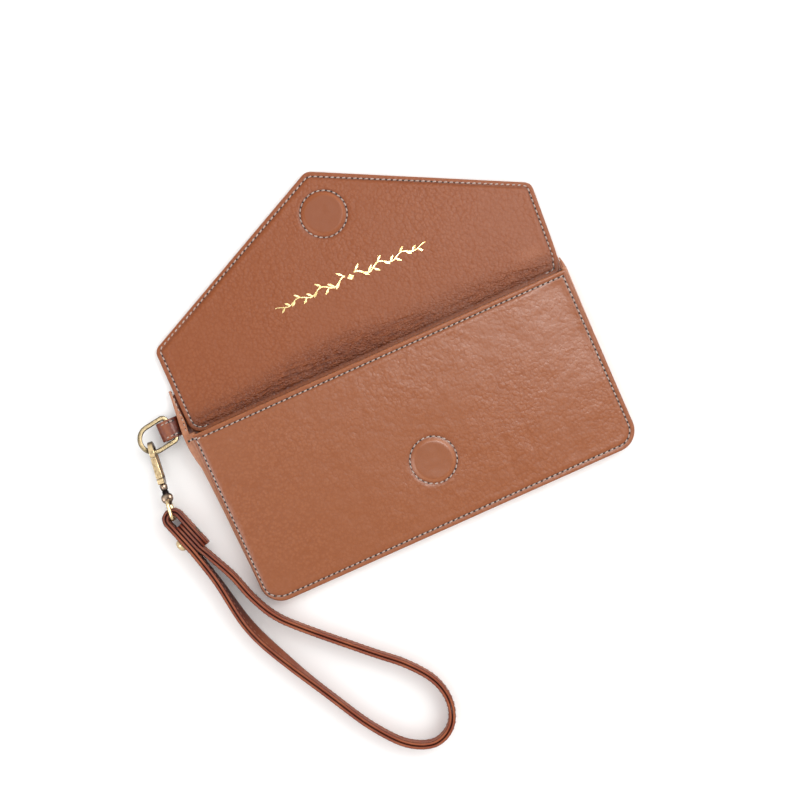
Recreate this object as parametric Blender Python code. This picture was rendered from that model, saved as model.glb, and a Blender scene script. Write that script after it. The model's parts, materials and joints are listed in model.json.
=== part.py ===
"""Envelope wristlet wallet, lying on its back with the flap folded open.

Frame: +X across the wallet's width, +Y towards the point of the open flap, +Z up.
The origin is the centre of the back panel's outer face. Design sizes are in
millimetres, and the mesh builders convert them to metres.
"""

import math

import bmesh
import bpy
from mathutils import Matrix, Vector

MM = 0.001
GAP = 0.3

# Pouch: two leather walls, sewn along the bottom and joined by side gussets.
BODY_HALF_WIDTH = 104.0
BODY_HEIGHT = 96.4
MOUTH_Y = BODY_HEIGHT / 2
BOTTOM_Y = -BODY_HEIGHT / 2
BODY_CORNER_RADIUS = 11.0
LEATHER = 1.2
BOARD = 0.5
FABRIC = 0.5
BOTTOM_THICKNESS = 6.2
MOUTH_THICKNESS = 13.4
FRONT_HINGE_Z = 3.2
FRONT_SLOPE = math.atan((MOUTH_THICKNESS - BOTTOM_THICKNESS) / BODY_HEIGHT)
FRONT_LEATHER_Z = 1.8
BOARD_INSET = 5.0
BACK_BOARD_DROP = 2.0
FRONT_BOARD_DROP = 6.0
LINING_INSET = 1.0
POCKET_HALF_WIDTH = 86.0
POCKET_Y = (-35.0, 30.0)
POCKET_LEATHER = 0.8
GUSSET_LEATHER = 1.1
GUSSET_TOP_DROP = 0.4
LEFT_BULGE = (0.5, 2.9)
RIGHT_BULGE = (0.3, 0.9)

# Flap: a spine strip lets it fold over the pouch's thickness on two parallel folds.
FLAP_LEFT_X = -104.6
FLAP_BASE_RIGHT_X = 103.4
FLAP_WIDENING = 0.9
FLAP_TIP_RIGHT_X = 107.2
FLAP_SHOULDER_Y = 96.0
FLAP_APEX_X = 3.6
FLAP_APEX_Y = 148.5
FLAP_INNER_Z = 3.5
FLAP_LINING = 0.9
SPINE_FOLD_Y = 50.4
SPINE_LENGTH = 10.7
FLAP_FOLD_Y = SPINE_FOLD_Y + SPINE_LENGTH
FLAP_CORNER_RADIUS = 4.5
FLAP_APEX_RADIUS = 6.0
FLAP_BOARD_LIFT = 4.0
SPINE_CORNER_RADIUS = 3.0

# Magnetic closure, one disc behind the front panel and one inside the flap.
MAGNET_X = 3.15
MAGNET_RADIUS = 9.3
MAGNET_THICKNESS = 1.3
FRONT_MAGNET_FROM_BOTTOM = 35.2
FLAP_MAGNET_Y = FLAP_FOLD_Y + 63.5
BOSS_RADIUS = 10.25
BOSS_HEIGHT = 0.8
BOSS_ROOT = 0.4
RECESS_RADIUS = 9.7
RECESS_ROOF = 0.7

# D-ring and the leather tab that holds it, on the left of the spine.
TAB_Y = (50.9, 61.0)
TAB_EAR_Z = (2.2, 3.4)
LEFT_EAR_X = (-108.2, -105.0)
LEFT_EAR_Y = (48.6, 73.8)
RIGHT_EAR_X = (104.6, 105.9)
RIGHT_EAR_Y = (48.6, 59.6)
TAB_TURN_X = -116.75
TAB_TURN_RADIUS = 2.75
TAB_SLOT_END_X = -112.0
RING_BAR = Vector((-113.1, 56.4, 3.6))
RING_WIRE = 1.05
RING_HALF_WIDTH = 6.85
RING_STRAIGHT = 10.5
RING_CORNER = 2.0
RING_YAW = math.radians(8.5)
RING_TILT = math.radians(8.1)
HOOK_ANGLE_ON_RING = math.radians(58)

# Swivel snap hook. Its own frame has x along the hook towards the strap, y up and
# z across its thickness, with the ring's wire at the origin.
HOOK_YAW = math.radians(263.3)
HOOK_AXIS_Y = 1.6
HOOK_CENTRE_X = 0.2
HOOK_OUTER = 5.8
HOOK_INNER = 3.4
HOOK_HALF_THICK = 1.9
HOOK_NOSE_X = 2.6
HOOK_BODY_X = 14.0
HOOK_NECK_X = 18.0
GATE_PIVOT = (15.8, 3.7)
GATE_HALF_THICK = 1.8
KNUCKLE_RADIUS = 1.5
KNUCKLE_HALF_THICK = 0.65
SLOT_HALF = 0.95
PIN_RADIUS = 0.5
PIN_HOLE = 0.8
BARREL_RADIUS = 2.3
BARREL_START_X = 16.9
HOOK_END_X = 20.6
SPRING_RADIUS = 0.52
SPRING_WIRE = 0.14
SPRING_TURNS = 3
EYE_INNER_X = 28.2
EYE_BAR_X = 35.6
EYE_WIRE = 0.95
EYE_HALF_HEIGHT = 6.1
EYE_CORNER = 1.8

# Wrist strap: two leather plies standing on edge, folded round the swivel eye.
STRAP_WIDTH = 9.6
STRAP_PLY = 1.5
STRAP_CORE_GAP = 0.4
STRAP_STACK = 3.75
STRAP_HEADING = math.radians(18.3)
STRAP_FOLD_LENGTH = 20.0
STRAP_DROP = 2.2
STRAP_FALL = 70.0
RIVET_AT = 14.2
RIVET_SHAFT = 1.1
RIVET_HOLE = 1.45
RIVET_HEAD = 2.3
RIVET_DOME = 1.35
RIVET_CAP = 1.3

TAN_LEATHER = (0.41, 0.156, 0.085)
DARK_LEATHER = (0.30, 0.11, 0.058)
PAPER_BOARD = (0.45, 0.40, 0.32)
TWILL = (0.30, 0.18, 0.11)
ANTIQUE_BRASS = (0.52, 0.40, 0.22)
STEEL = (0.55, 0.55, 0.56)
FERRITE = (0.05, 0.05, 0.055)
HELPER_GREY = (0.5, 0.5, 0.5)


# ---------------------------------------------------------------- building tools

def clear_scene():
    for obj in list(bpy.data.objects):
        bpy.data.objects.remove(obj, do_unlink=True)


def make_material(name, colour, roughness, metallic):
    material = bpy.data.materials.new(name + "_material")
    material.use_nodes = True
    shader = material.node_tree.nodes["Principled BSDF"]
    shader.inputs["Base Color"].default_value = (*colour, 1.0)
    shader.inputs["Roughness"].default_value = roughness
    shader.inputs["Metallic"].default_value = metallic
    return material


def make_piece(name, bm, parent, colour, roughness=0.5, metallic=0.0):
    """Turn a millimetre mesh into a named object that hangs on its parent frame."""
    bmesh.ops.scale(bm, vec=(MM, MM, MM), verts=bm.verts)
    bmesh.ops.recalc_face_normals(bm, faces=bm.faces)
    mesh = bpy.data.meshes.new(name)
    bm.to_mesh(mesh)
    bm.free()
    obj = bpy.data.objects.new(name, mesh)
    bpy.context.collection.objects.link(obj)
    obj.parent = parent
    mesh.materials.append(make_material(name, colour, roughness, metallic))
    return obj


def make_frame(name, parent, location, rotation=None):
    """An empty on a joint's axis; the moving pieces are its children."""
    empty = bpy.data.objects.new(name, None)
    bpy.context.collection.objects.link(empty)
    empty.parent = parent
    turn = rotation if rotation is not None else Matrix.Identity(3)
    empty.matrix_local = Matrix.Translation(Vector(location) * MM) @ turn.to_4x4()
    empty.empty_display_size = 0.01
    return empty


def add_boolean(obj, cutter_bm, operation, name, parent=None):
    """Join or cut with a helper mesh that never becomes a piece of its own."""
    helper = make_piece(name, cutter_bm, parent or obj.parent, HELPER_GREY)
    helper.hide_render = True
    helper.display_type = "WIRE"
    modifier = obj.modifiers.new(name, "BOOLEAN")
    modifier.operation = operation
    modifier.solver = "EXACT"
    modifier.object = helper


def shade_round(obj, angle=35.0):
    obj.data.shade_smooth()
    obj.data.set_sharp_from_angle(angle=math.radians(angle))


def prism(outline, low, high):
    """Closed slab over an anticlockwise outline in the local XY plane."""
    bm = bmesh.new()
    bottom = [bm.verts.new((x, y, low)) for x, y in outline]
    top = [bm.verts.new((x, y, high)) for x, y in outline]
    bm.faces.new(list(reversed(bottom)))
    bm.faces.new(top)
    for i, corner in enumerate(bottom):
        j = (i + 1) % len(bottom)
        bm.faces.new((corner, bottom[j], top[j], top[i]))
    return bm


def loft(rings, closed=False):
    """Skin a row of equal rings; an open row is capped at both ends."""
    bm = bmesh.new()
    loops = [[bm.verts.new(point) for point in ring] for ring in rings]
    pairs = list(zip(loops, loops[1:]))
    if closed:
        pairs.append((loops[-1], loops[0]))
    for near, far in pairs:
        for i, corner in enumerate(near):
            j = (i + 1) % len(near)
            bm.faces.new((corner, near[j], far[j], far[i]))
    if not closed:
        bm.faces.new(list(reversed(loops[0])))
        bm.faces.new(loops[-1])
    return bm


def circle(centre, radius, count):
    step = 2 * math.pi / count
    return [
        (centre[0] + radius * math.cos(step * i), centre[1] + radius * math.sin(step * i))
        for i in range(count)
    ]


def arc(centre, radius, start, end, count):
    """Points along an arc, angles in degrees."""
    points = []
    for i in range(count + 1):
        angle = math.radians(start + (end - start) * i / count)
        points.append((centre[0] + radius * math.cos(angle), centre[1] + radius * math.sin(angle)))
    return points


def rounded(corners, steps=5):
    """Polygon with each (x, y, radius) corner replaced by a fillet."""
    points = []
    for i, (x, y, radius) in enumerate(corners):
        here = Vector((x, y))
        if radius == 0:
            points.append((x, y))
            continue
        before = (Vector(corners[i - 1][:2]) - here).normalized()
        after = (Vector(corners[(i + 1) % len(corners)][:2]) - here).normalized()
        half = before.angle(after) / 2
        centre = here + (before + after).normalized() * radius / math.sin(half)
        reach = radius / math.tan(half)
        start = here + before * reach - centre
        end = here + after * reach - centre
        sweep = start.angle_signed(end)
        for k in range(steps + 1):
            turned_start = Matrix.Rotation(-sweep * k / steps, 2) @ start
            points.append(tuple(centre + turned_start))
    return points


def turned(profile, count=16):
    """Solid of revolution about local X from (x, radius) pairs."""
    return loft([
        [(x, r * math.cos(2 * math.pi * i / count), r * math.sin(2 * math.pi * i / count))
         for i in range(count)]
        for x, r in profile
    ])


def disc(centre, radius, low, high, count=32):
    return prism(circle(centre, radius, count), low, high)


def wire_rings(path, radius, count, closed):
    """Round sections along a path in the local XY plane."""
    rings = []
    total = len(path)
    for i, (x, y) in enumerate(path):
        if closed:
            before, after = path[i - 1], path[(i + 1) % total]
        else:
            before, after = path[max(i - 1, 0)], path[min(i + 1, total - 1)]
        along = Vector((after[0] - before[0], after[1] - before[1])).normalized()
        side = Vector((-along.y, along.x))
        ring = []
        for k in range(count):
            angle = 2 * math.pi * k / count
            offset = side * radius * math.cos(angle)
            ring.append((x + offset.x, y + offset.y, radius * math.sin(angle)))
        rings.append(ring)
    return rings


# ---------------------------------------------------------------- pouch and front

def body_outline(inset, top_y, bottom_y=BOTTOM_Y):
    half = BODY_HALF_WIDTH - inset
    radius = BODY_CORNER_RADIUS - min(inset, 4.0)
    return rounded([
        (-half, bottom_y + inset, radius),
        (half, bottom_y + inset, radius),
        (half, top_y, 0),
        (-half, top_y, 0),
    ])


def front_outer_z(y):
    return BOTTOM_THICKNESS + (y - BOTTOM_Y) * math.tan(FRONT_SLOPE)


def build_back(pouch):
    """Back wall: leather, stiffening board, lining and an inside slip pocket."""
    low = LEATHER + GAP
    make_piece("back_panel", prism(body_outline(0, SPINE_FOLD_Y - GAP), 0, LEATHER),
               pouch, TAN_LEATHER, 0.48)
    make_piece("back_board", prism(body_outline(BOARD_INSET, MOUTH_Y - BACK_BOARD_DROP),
                                   low, low + BOARD), pouch, PAPER_BOARD, 0.9)
    low += BOARD + GAP
    make_piece("back_lining", prism(body_outline(LINING_INSET, SPINE_FOLD_Y - 2 * GAP),
                                    low, low + FABRIC), pouch, TWILL, 0.85)
    low += FABRIC + GAP
    half = POCKET_HALF_WIDTH
    hem_y, top_y = POCKET_Y
    pocket = rounded([(-half, hem_y, 3), (half, hem_y, 3), (half, top_y, 2),
                      (-half, top_y, 2)], 3)
    make_piece("slip_pocket", prism(pocket, low, low + POCKET_LEATHER), pouch,
               DARK_LEATHER, 0.6)


def build_gusset(name, side, bulge_range, pouch):
    """Bowed side wall that closes the wedge between the back and front walls."""
    bulge_bottom, bulge_mouth = bulge_range
    stations = 10
    across = 6
    start_y = BOTTOM_Y + BODY_CORNER_RADIUS
    end_y = MOUTH_Y - GAP
    rings = []
    for i in range(stations + 1):
        share = i / stations
        y = start_y + (end_y - start_y) * share
        bulge = bulge_bottom + (bulge_mouth - bulge_bottom) * share ** 1.5
        low, high = GAP, front_outer_z(y) - GUSSET_TOP_DROP
        inner, outer = [], []
        for k in range(across + 1):
            t = k / across
            bow = BODY_HALF_WIDTH + GAP + bulge * math.sin(math.pi * t)
            z = low + (high - low) * t
            inner.append((side * bow, y, z))
            outer.append((side * (bow + GUSSET_LEATHER), y, z))
        rings.append(inner + list(reversed(outer)))
    obj = make_piece(name, loft(rings), pouch, TAN_LEATHER, 0.5)
    shade_round(obj)


def build_front(front):
    """Front wall: leather with the magnet's raised disc, board, magnet and lining."""
    length = BODY_HEIGHT / math.cos(FRONT_SLOPE)
    magnet = (MAGNET_X, FRONT_MAGNET_FROM_BOTTOM)
    leather_low = FRONT_LEATHER_Z
    leather_high = leather_low + LEATHER
    board_low = leather_low - GAP - BOARD

    def outline(inset, top_inset):
        return body_outline(inset, length - top_inset, 0.0)

    panel = make_piece("front_panel", prism(outline(0, 0), leather_low, leather_high),
                       front, TAN_LEATHER, 0.48)
    add_boolean(panel, disc(magnet, BOSS_RADIUS, leather_low + BOSS_ROOT,
                            leather_high + BOSS_HEIGHT), "UNION", "front_boss_guide")
    add_boolean(panel, disc(magnet, RECESS_RADIUS, board_low, leather_low + BOSS_HEIGHT),
                "DIFFERENCE", "front_recess_cutter")
    board = make_piece("front_board", prism(outline(BOARD_INSET, FRONT_BOARD_DROP), board_low,
                                            board_low + BOARD), front, PAPER_BOARD, 0.9)
    add_boolean(board, disc(magnet, RECESS_RADIUS, board_low - LEATHER, leather_high),
                "DIFFERENCE", "front_board_cutter")
    make_piece("front_magnet", disc(magnet, MAGNET_RADIUS, board_low,
                                    board_low + MAGNET_THICKNESS), front, FERRITE, 0.4, 0.6)
    lining_low = board_low - GAP - FABRIC
    make_piece("front_lining", prism(outline(LINING_INSET, LINING_INSET), lining_low,
                                     lining_low + FABRIC), front, TWILL, 0.85)


# ---------------------------------------------------------------- flap

def flap_outline(inset, base_y):
    """Envelope pentagon above the flap fold."""
    radius = max(FLAP_CORNER_RADIUS - inset, 1.0)
    drop = inset * 1.1
    return rounded([
        (FLAP_LEFT_X + inset, base_y, 0),
        (FLAP_BASE_RIGHT_X + FLAP_WIDENING - inset, base_y, 0),
        (FLAP_TIP_RIGHT_X - inset, FLAP_SHOULDER_Y - drop * 0.5, radius),
        (FLAP_APEX_X, FLAP_APEX_Y - drop, FLAP_APEX_RADIUS),
        (FLAP_LEFT_X + inset, FLAP_SHOULDER_Y - drop * 0.5, radius),
    ])


def move_to(outline, y):
    """Shift an outline so that the given height becomes local zero."""
    return [(px, py - y) for px, py in outline]


def build_spine(spine):
    """The strip between the two folds: outer leather and lining."""
    outline = move_to(rounded([
        (FLAP_LEFT_X, SPINE_FOLD_Y + GAP, SPINE_CORNER_RADIUS),
        (FLAP_BASE_RIGHT_X, SPINE_FOLD_Y + GAP, SPINE_CORNER_RADIUS),
        (FLAP_BASE_RIGHT_X + FLAP_WIDENING, FLAP_FOLD_Y - GAP, 0),
        (FLAP_LEFT_X, FLAP_FOLD_Y - GAP, 0),
    ], 4), SPINE_FOLD_Y)
    outer_low = GAP - FLAP_INNER_Z
    make_piece("spine_outer", prism(outline, outer_low, outer_low + LEATHER),
               spine, TAN_LEATHER, 0.48)
    make_piece("spine_lining", prism(outline, -FLAP_LINING, 0.0), spine, TAN_LEATHER, 0.5)


def build_flap(flap):
    """Flap proper: outer leather, board, magnet, and leather lining with its raised disc."""
    base = FLAP_FOLD_Y + GAP
    magnet = (MAGNET_X, FLAP_MAGNET_Y - FLAP_FOLD_Y)
    outer_low = GAP - FLAP_INNER_Z
    board_low = outer_low + LEATHER + GAP
    lining_low = -FLAP_LINING

    def outline(inset, extra=0.0):
        return move_to(flap_outline(inset, base + extra), FLAP_FOLD_Y)

    make_piece("flap_outer", prism(outline(0), outer_low, outer_low + LEATHER),
               flap, TAN_LEATHER, 0.48)
    board = make_piece("flap_board", prism(outline(BOARD_INSET, FLAP_BOARD_LIFT), board_low,
                                           board_low + BOARD), flap, PAPER_BOARD, 0.9)
    add_boolean(board, disc(magnet, RECESS_RADIUS, outer_low, BOSS_HEIGHT),
                "DIFFERENCE", "flap_board_cutter")
    lining = make_piece("flap_lining", prism(outline(0), lining_low, 0.0), flap,
                        TAN_LEATHER, 0.5)
    add_boolean(lining, disc(magnet, BOSS_RADIUS, lining_low + BOSS_ROOT, BOSS_HEIGHT),
                "UNION", "flap_boss_guide")
    add_boolean(lining, disc(magnet, RECESS_RADIUS, board_low, lining_low + RECESS_ROOF),
                "DIFFERENCE", "flap_recess_cutter")
    make_piece("flap_magnet", disc(magnet, MAGNET_RADIUS, board_low,
                                   board_low + MAGNET_THICKNESS - 0.1), flap, FERRITE, 0.4, 0.6)


# ---------------------------------------------------------------- ring and its tab

def build_ears_and_tab(pouch):
    """Leather strips on the gussets' corners, and the folded tab that the left one holds."""
    outer_x, inner_x = LEFT_EAR_X
    low_y, high_y = LEFT_EAR_Y
    ear = rounded([
        (outer_x, low_y, 0.6),
        (inner_x, low_y, 0.6),
        (inner_x, high_y, 0.7),
        (inner_x - 1.6, high_y, 0.7),
        (outer_x, high_y - 13.0, 6.0),
    ], 4)
    make_piece("left_ear", prism(ear, *TAB_EAR_Z), pouch, TAN_LEATHER, 0.5)
    near_x, far_x = RIGHT_EAR_X
    base_y, tip_y = RIGHT_EAR_Y
    ear = rounded([
        (near_x, base_y, 0.3),
        (far_x, base_y, 0.3),
        (near_x + 0.5, tip_y, 0.2),
        (near_x, tip_y, 0.2),
    ], 3)
    make_piece("right_ear", prism(ear, *TAB_EAR_Z), pouch, TAN_LEATHER, 0.5)

    tongue_top = TAB_EAR_Z[0] - GAP
    bar_z = RING_BAR.z
    side = [(inner_x - 0.2, GAP), (-109.4, 0.4), (-111.0, bar_z - TAB_TURN_RADIUS)]
    side += arc((TAB_TURN_X, bar_z), TAB_TURN_RADIUS, 270, 90, 8)
    side += [(-111.4, bar_z + TAB_TURN_RADIUS), (-109.6, 5.0), (-108.7, 3.0),
             (-108.6, tongue_top), (inner_x - 0.2, tongue_top)]
    slot = arc((TAB_TURN_X, bar_z), RING_WIRE + GAP, 90, 270, 8)
    slot += arc((TAB_SLOT_END_X, bar_z), RING_WIRE + GAP, -90, 90, 8)
    upright = Matrix(((1, 0, 0), (0, 0, -1), (0, 1, 0)))
    stand = make_frame("tab_stand", pouch, (0, 0, 0), upright)
    tab = make_piece("side_tab", prism(side, -TAB_Y[1], -TAB_Y[0]), stand, DARK_LEATHER, 0.5)
    add_boolean(tab, prism(slot, -TAB_Y[1] - 2, -TAB_Y[0] + 2), "DIFFERENCE", "tab_slot_cutter")
    shade_round(tab)


def build_d_ring(ring):
    """Wire D: a straight bar on the pivot, two sides and a round end."""
    half = RING_HALF_WIDTH
    path = arc((RING_CORNER, -half + RING_CORNER), RING_CORNER, 180, 270, 3)
    path += arc((RING_STRAIGHT, 0), half, -90, 90, 12)
    path += arc((RING_CORNER, half - RING_CORNER), RING_CORNER, 90, 180, 3)
    path += [(0, half * 0.3), (0, -half * 0.3)]
    obj = make_piece("d_ring", loft(wire_rings(path, RING_WIRE, 12, True), closed=True),
                     ring, ANTIQUE_BRASS, 0.35, 1.0)
    shade_round(obj, 60)


# ---------------------------------------------------------------- snap hook

def build_clasp(clasp):
    """Hook body with its gate slot, spring pocket, pin hole and swivel bore."""
    axis = HOOK_AXIS_Y
    centre = (HOOK_CENTRE_X, axis)
    body_x, neck_x = HOOK_BODY_X, HOOK_NECK_X
    outline = [(neck_x, axis - 3.6), (body_x + 0.2, axis - HOOK_OUTER + 0.3)]
    outline += arc(centre, HOOK_OUTER, 270, 90, 12)
    outline += [(HOOK_NOSE_X, axis + HOOK_OUTER), (HOOK_NOSE_X, axis + HOOK_INNER)]
    outline += arc(centre, HOOK_INNER, 90, 270, 10)
    outline += [(body_x - 1.0, axis - HOOK_INNER), (body_x, axis - 2.2), (body_x, axis + 4.4),
                (body_x + 0.9, axis + 5.6), (neck_x, axis + 4.2)]
    outline = list(reversed(outline))
    hook = make_piece("clasp_hook", prism(outline, -HOOK_HALF_THICK, HOOK_HALF_THICK), clasp,
                      ANTIQUE_BRASS, 0.35, 1.0)
    barrel = turned([(BARREL_START_X, BARREL_RADIUS), (HOOK_END_X, BARREL_RADIUS)], 20)
    bmesh.ops.translate(barrel, vec=(0, axis, 0), verts=barrel.verts)
    add_boolean(hook, barrel, "UNION", "hook_barrel_guide")
    gate_y = GATE_PIVOT[1] + axis
    slot = [(body_x - 1.0, axis + 1.8), (neck_x - 0.2, axis + 1.8), (neck_x - 0.2, axis + 8.0),
            (body_x - 1.0, axis + 8.0)]
    add_boolean(hook, prism(slot, -SLOT_HALF, SLOT_HALF), "DIFFERENCE", "gate_slot_cutter")
    pocket = [(14.9, axis - 1.4), (16.7, axis - 1.4), (16.7, axis + 2.1), (14.9, axis + 2.1)]
    add_boolean(hook, prism(pocket, -SLOT_HALF, SLOT_HALF), "DIFFERENCE",
                "spring_pocket_cutter")
    add_boolean(hook, disc((GATE_PIVOT[0], gate_y), PIN_HOLE, -3.0, 3.0, 12), "DIFFERENCE",
                "pin_hole_cutter")
    chamber = turned([(18.2, 1.6), (19.4, 1.6), (19.4, 1.1), (22.0, 1.1)], 12)
    bmesh.ops.translate(chamber, vec=(0, axis, 0), verts=chamber.verts)
    add_boolean(hook, chamber, "DIFFERENCE", "swivel_bore_cutter")
    shade_round(hook)

    pin = make_piece("gate_pin", disc((GATE_PIVOT[0], gate_y), PIN_RADIUS, -HOOK_HALF_THICK,
                                      HOOK_HALF_THICK, 10), clasp, STEEL, 0.3, 1.0)
    shade_round(pin)
    build_gate_spring(clasp, axis)


def build_gate_spring(clasp, axis):
    """Small compression coil that pushes the gate shut."""
    per_turn, around = 8, 6
    steps = SPRING_TURNS * per_turn
    low, high = axis - 1.1, axis + 1.7
    rings = []
    for i in range(steps + 1):
        angle = 2 * math.pi * i / per_turn
        y = low + (high - low) * i / steps
        outward = Vector((math.cos(angle), 0, math.sin(angle)))
        centre = Vector((GATE_PIVOT[0], y, 0)) + outward * SPRING_RADIUS
        ring = []
        for k in range(around):
            turn = 2 * math.pi * k / around
            ring.append(centre + outward * SPRING_WIRE * math.cos(turn)
                        + Vector((0, SPRING_WIRE * math.sin(turn), 0)))
        rings.append(ring)
    obj = make_piece("gate_spring", loft(rings), clasp, STEEL, 0.3, 1.0)
    shade_round(obj)


def build_gate(gate):
    """Gate bar with a thin knuckle that turns on the pin."""
    pivot_x = GATE_PIVOT[0]
    tip = HOOK_NOSE_X + GAP - pivot_x
    bar = [(tip, -0.2), (-2.3, -0.2), (-2.3, 1.7), (tip + 0.4, 1.9), (tip, 1.7)]
    knuckle = [(-4.0, 0.1), (-1.2, -0.9), (0.0, -KNUCKLE_RADIUS)]
    knuckle += arc((0, 0), KNUCKLE_RADIUS, -80, 80, 8)
    knuckle += [(0.0, KNUCKLE_RADIUS), (-4.0, 1.4)]
    obj = make_piece("clasp_gate", prism(bar, -GATE_HALF_THICK, GATE_HALF_THICK), gate,
                     ANTIQUE_BRASS, 0.35, 1.0)
    add_boolean(obj, prism(knuckle, -KNUCKLE_HALF_THICK, KNUCKLE_HALF_THICK), "UNION",
                "gate_knuckle_guide")
    add_boolean(obj, disc((0, 0), PIN_HOLE, -2.0, 2.0, 12), "DIFFERENCE", "gate_hole_cutter")
    shade_round(obj)


def build_swivel(swivel):
    """Swivel stem with its captive head, shoulder and the eye for the strap."""
    stem = turned([(18.6, 1.25), (19.1, 1.25), (19.1, 0.8), (21.2, 0.8), (21.2, 1.7),
                   (23.8, 1.9), (24.2, 2.9), (26.4, 2.9), (27.6, 1.7), (28.4, 1.5)], 16)
    eye = make_piece("swivel_eye", stem, swivel, ANTIQUE_BRASS, 0.35, 1.0)
    inner_x, outer_x, half, corner = EYE_INNER_X, EYE_BAR_X, EYE_HALF_HEIGHT, EYE_CORNER
    path = []
    for cx, cy, start in ((outer_x, -half, -90), (outer_x, half, 0),
                          (inner_x, half, 90), (inner_x, -half, 180)):
        to_x = -corner if cx == outer_x else corner
        to_y = corner if cy < 0 else -corner
        path += arc((cx + to_x, cy + to_y), corner, start, start + 90, 4)
    add_boolean(eye, loft(wire_rings(path, EYE_WIRE, 10, True), closed=True), "UNION",
                "eye_loop_guide")
    shade_round(eye, 50)


# ---------------------------------------------------------------- strap

def strap_heading():
    return Vector((math.sin(STRAP_HEADING), -math.cos(STRAP_HEADING)))


def strap_path():
    """Centre line seen from above, from the folded tail to the sandwiched end.

    The line is relative to the eye bar: up along the tail, round the bar, down the
    long side, round the hand loop and back between the two folded lengths.
    """
    along = strap_heading()
    left = Vector((along.y, -along.x))
    path = [along * d - left * STRAP_STACK for d in (19.0, 14.0, 8.0, 3.0)]
    first = math.atan2(-left.y, -left.x)
    for i in range(11):
        angle = first + math.pi * i / 10
        path.append(Vector((math.cos(angle), math.sin(angle))) * STRAP_STACK)
    straight = [along * d + left * STRAP_STACK for d in (6.0, 13.0, STRAP_FOLD_LENGTH)]
    path += straight
    loop = [straight[-1], (8.4, -38.5), (14.2, -67.0), (24.7, -92.5), (37.3, -117.6),
            (49.0, -138.0), (61.7, -153.2), (75.0, -159.0), (85.9, -154.3), (90.5, -143.0),
            (88.0, -129.8), (78.2, -116.4), (63.1, -102.4), (36.4, -77.0), (26.3, -65.4),
            (20.0, -52.6), (15.2, -38.9), along * 25.5, along * 19.0]
    path += smooth_run([Vector(p) for p in loop], straight[-2], 5)[1:]
    path += [along * d for d in (13.0, 8.0, 4.4)]
    return path


def smooth_run(points, before, steps):
    """Catmull-Rom curve through the points; the neighbour before them sets its start."""
    line = [before] + points + [points[-1] * 2 - points[-2]]
    run = []
    for i in range(1, len(line) - 2):
        a, b, c, d = line[i - 1:i + 3]
        for k in range(steps):
            t = k / steps
            run.append(0.5 * (2 * b + (c - a) * t + (2 * a - 5 * b + 4 * c - d) * t ** 2
                              + (3 * b - a - 3 * c + d) * t ** 3))
    run.append(points[-1])
    return run


def strap_sag(y):
    """The strap sits high in the eye and comes down to the table along its length."""
    share = min(max(-y / STRAP_FALL, 0.0), 1.0)
    return -STRAP_DROP * share * share * (3 - 2 * share)


def strap_ply(path, inner, outer):
    """One leather ply between two offsets from the centre line."""
    half = STRAP_WIDTH / 2
    rings = []
    for i, point in enumerate(path):
        before, after = path[max(i - 1, 0)], path[min(i + 1, len(path) - 1)]
        along = (after - before).normalized()
        side = Vector((along.y, -along.x))
        near, far = point + side * inner, point + side * outer
        z = strap_sag(point.y)
        rings.append([(near.x, near.y, z - half), (far.x, far.y, z - half),
                      (far.x, far.y, z + half), (near.x, near.y, z + half)])
    return loft(rings)


def build_strap(strap):
    """Two plies, a through rivet with a domed head, and its cap."""
    path = strap_path()
    core = STRAP_CORE_GAP / 2
    plies = {"strap_outer": (core, core + STRAP_PLY), "strap_inner": (-core - STRAP_PLY, -core)}
    along = strap_heading()
    left = Vector((along.y, -along.x))
    spot = along * RIVET_AT
    turn = Matrix(((left.x, -left.y, 0), (left.y, left.x, 0), (0, 0, 1)))
    rivet_frame = make_frame("rivet_frame", strap, (spot.x, spot.y, strap_sag(spot.y)), turn)
    for name, (inner, outer) in plies.items():
        ply = make_piece(name, strap_ply(path, inner, outer), strap, TAN_LEATHER, 0.5)
        reach = STRAP_STACK + STRAP_WIDTH
        add_boolean(ply, turned([(-reach, RIVET_HOLE), (reach, RIVET_HOLE)], 12), "DIFFERENCE",
                    name + "_hole_cutter", rivet_frame)
    face = STRAP_STACK + core + STRAP_PLY + GAP
    head = make_piece("rivet_head", turned([(-face - 0.5, RIVET_SHAFT), (face, RIVET_SHAFT),
                                            (face, RIVET_HEAD), (face + 0.5, RIVET_HEAD),
                                            (face + 1.1, RIVET_HEAD * 0.7),
                                            (face + RIVET_DOME, RIVET_HEAD * 0.3)]),
                      rivet_frame, ANTIQUE_BRASS, 0.3, 1.0)
    cap = make_piece("rivet_cap", turned([(-face - RIVET_CAP, RIVET_HEAD * 0.8),
                                          (-face - 0.9, RIVET_HEAD), (-face, RIVET_HEAD)]),
                     rivet_frame, ANTIQUE_BRASS, 0.3, 1.0)
    add_boolean(cap, turned([(-face - 0.8, RIVET_HOLE), (-face + 1, RIVET_HOLE)], 12),
                "DIFFERENCE", "cap_hole_cutter")
    shade_round(head)
    shade_round(cap)


# ---------------------------------------------------------------- assembly

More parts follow.
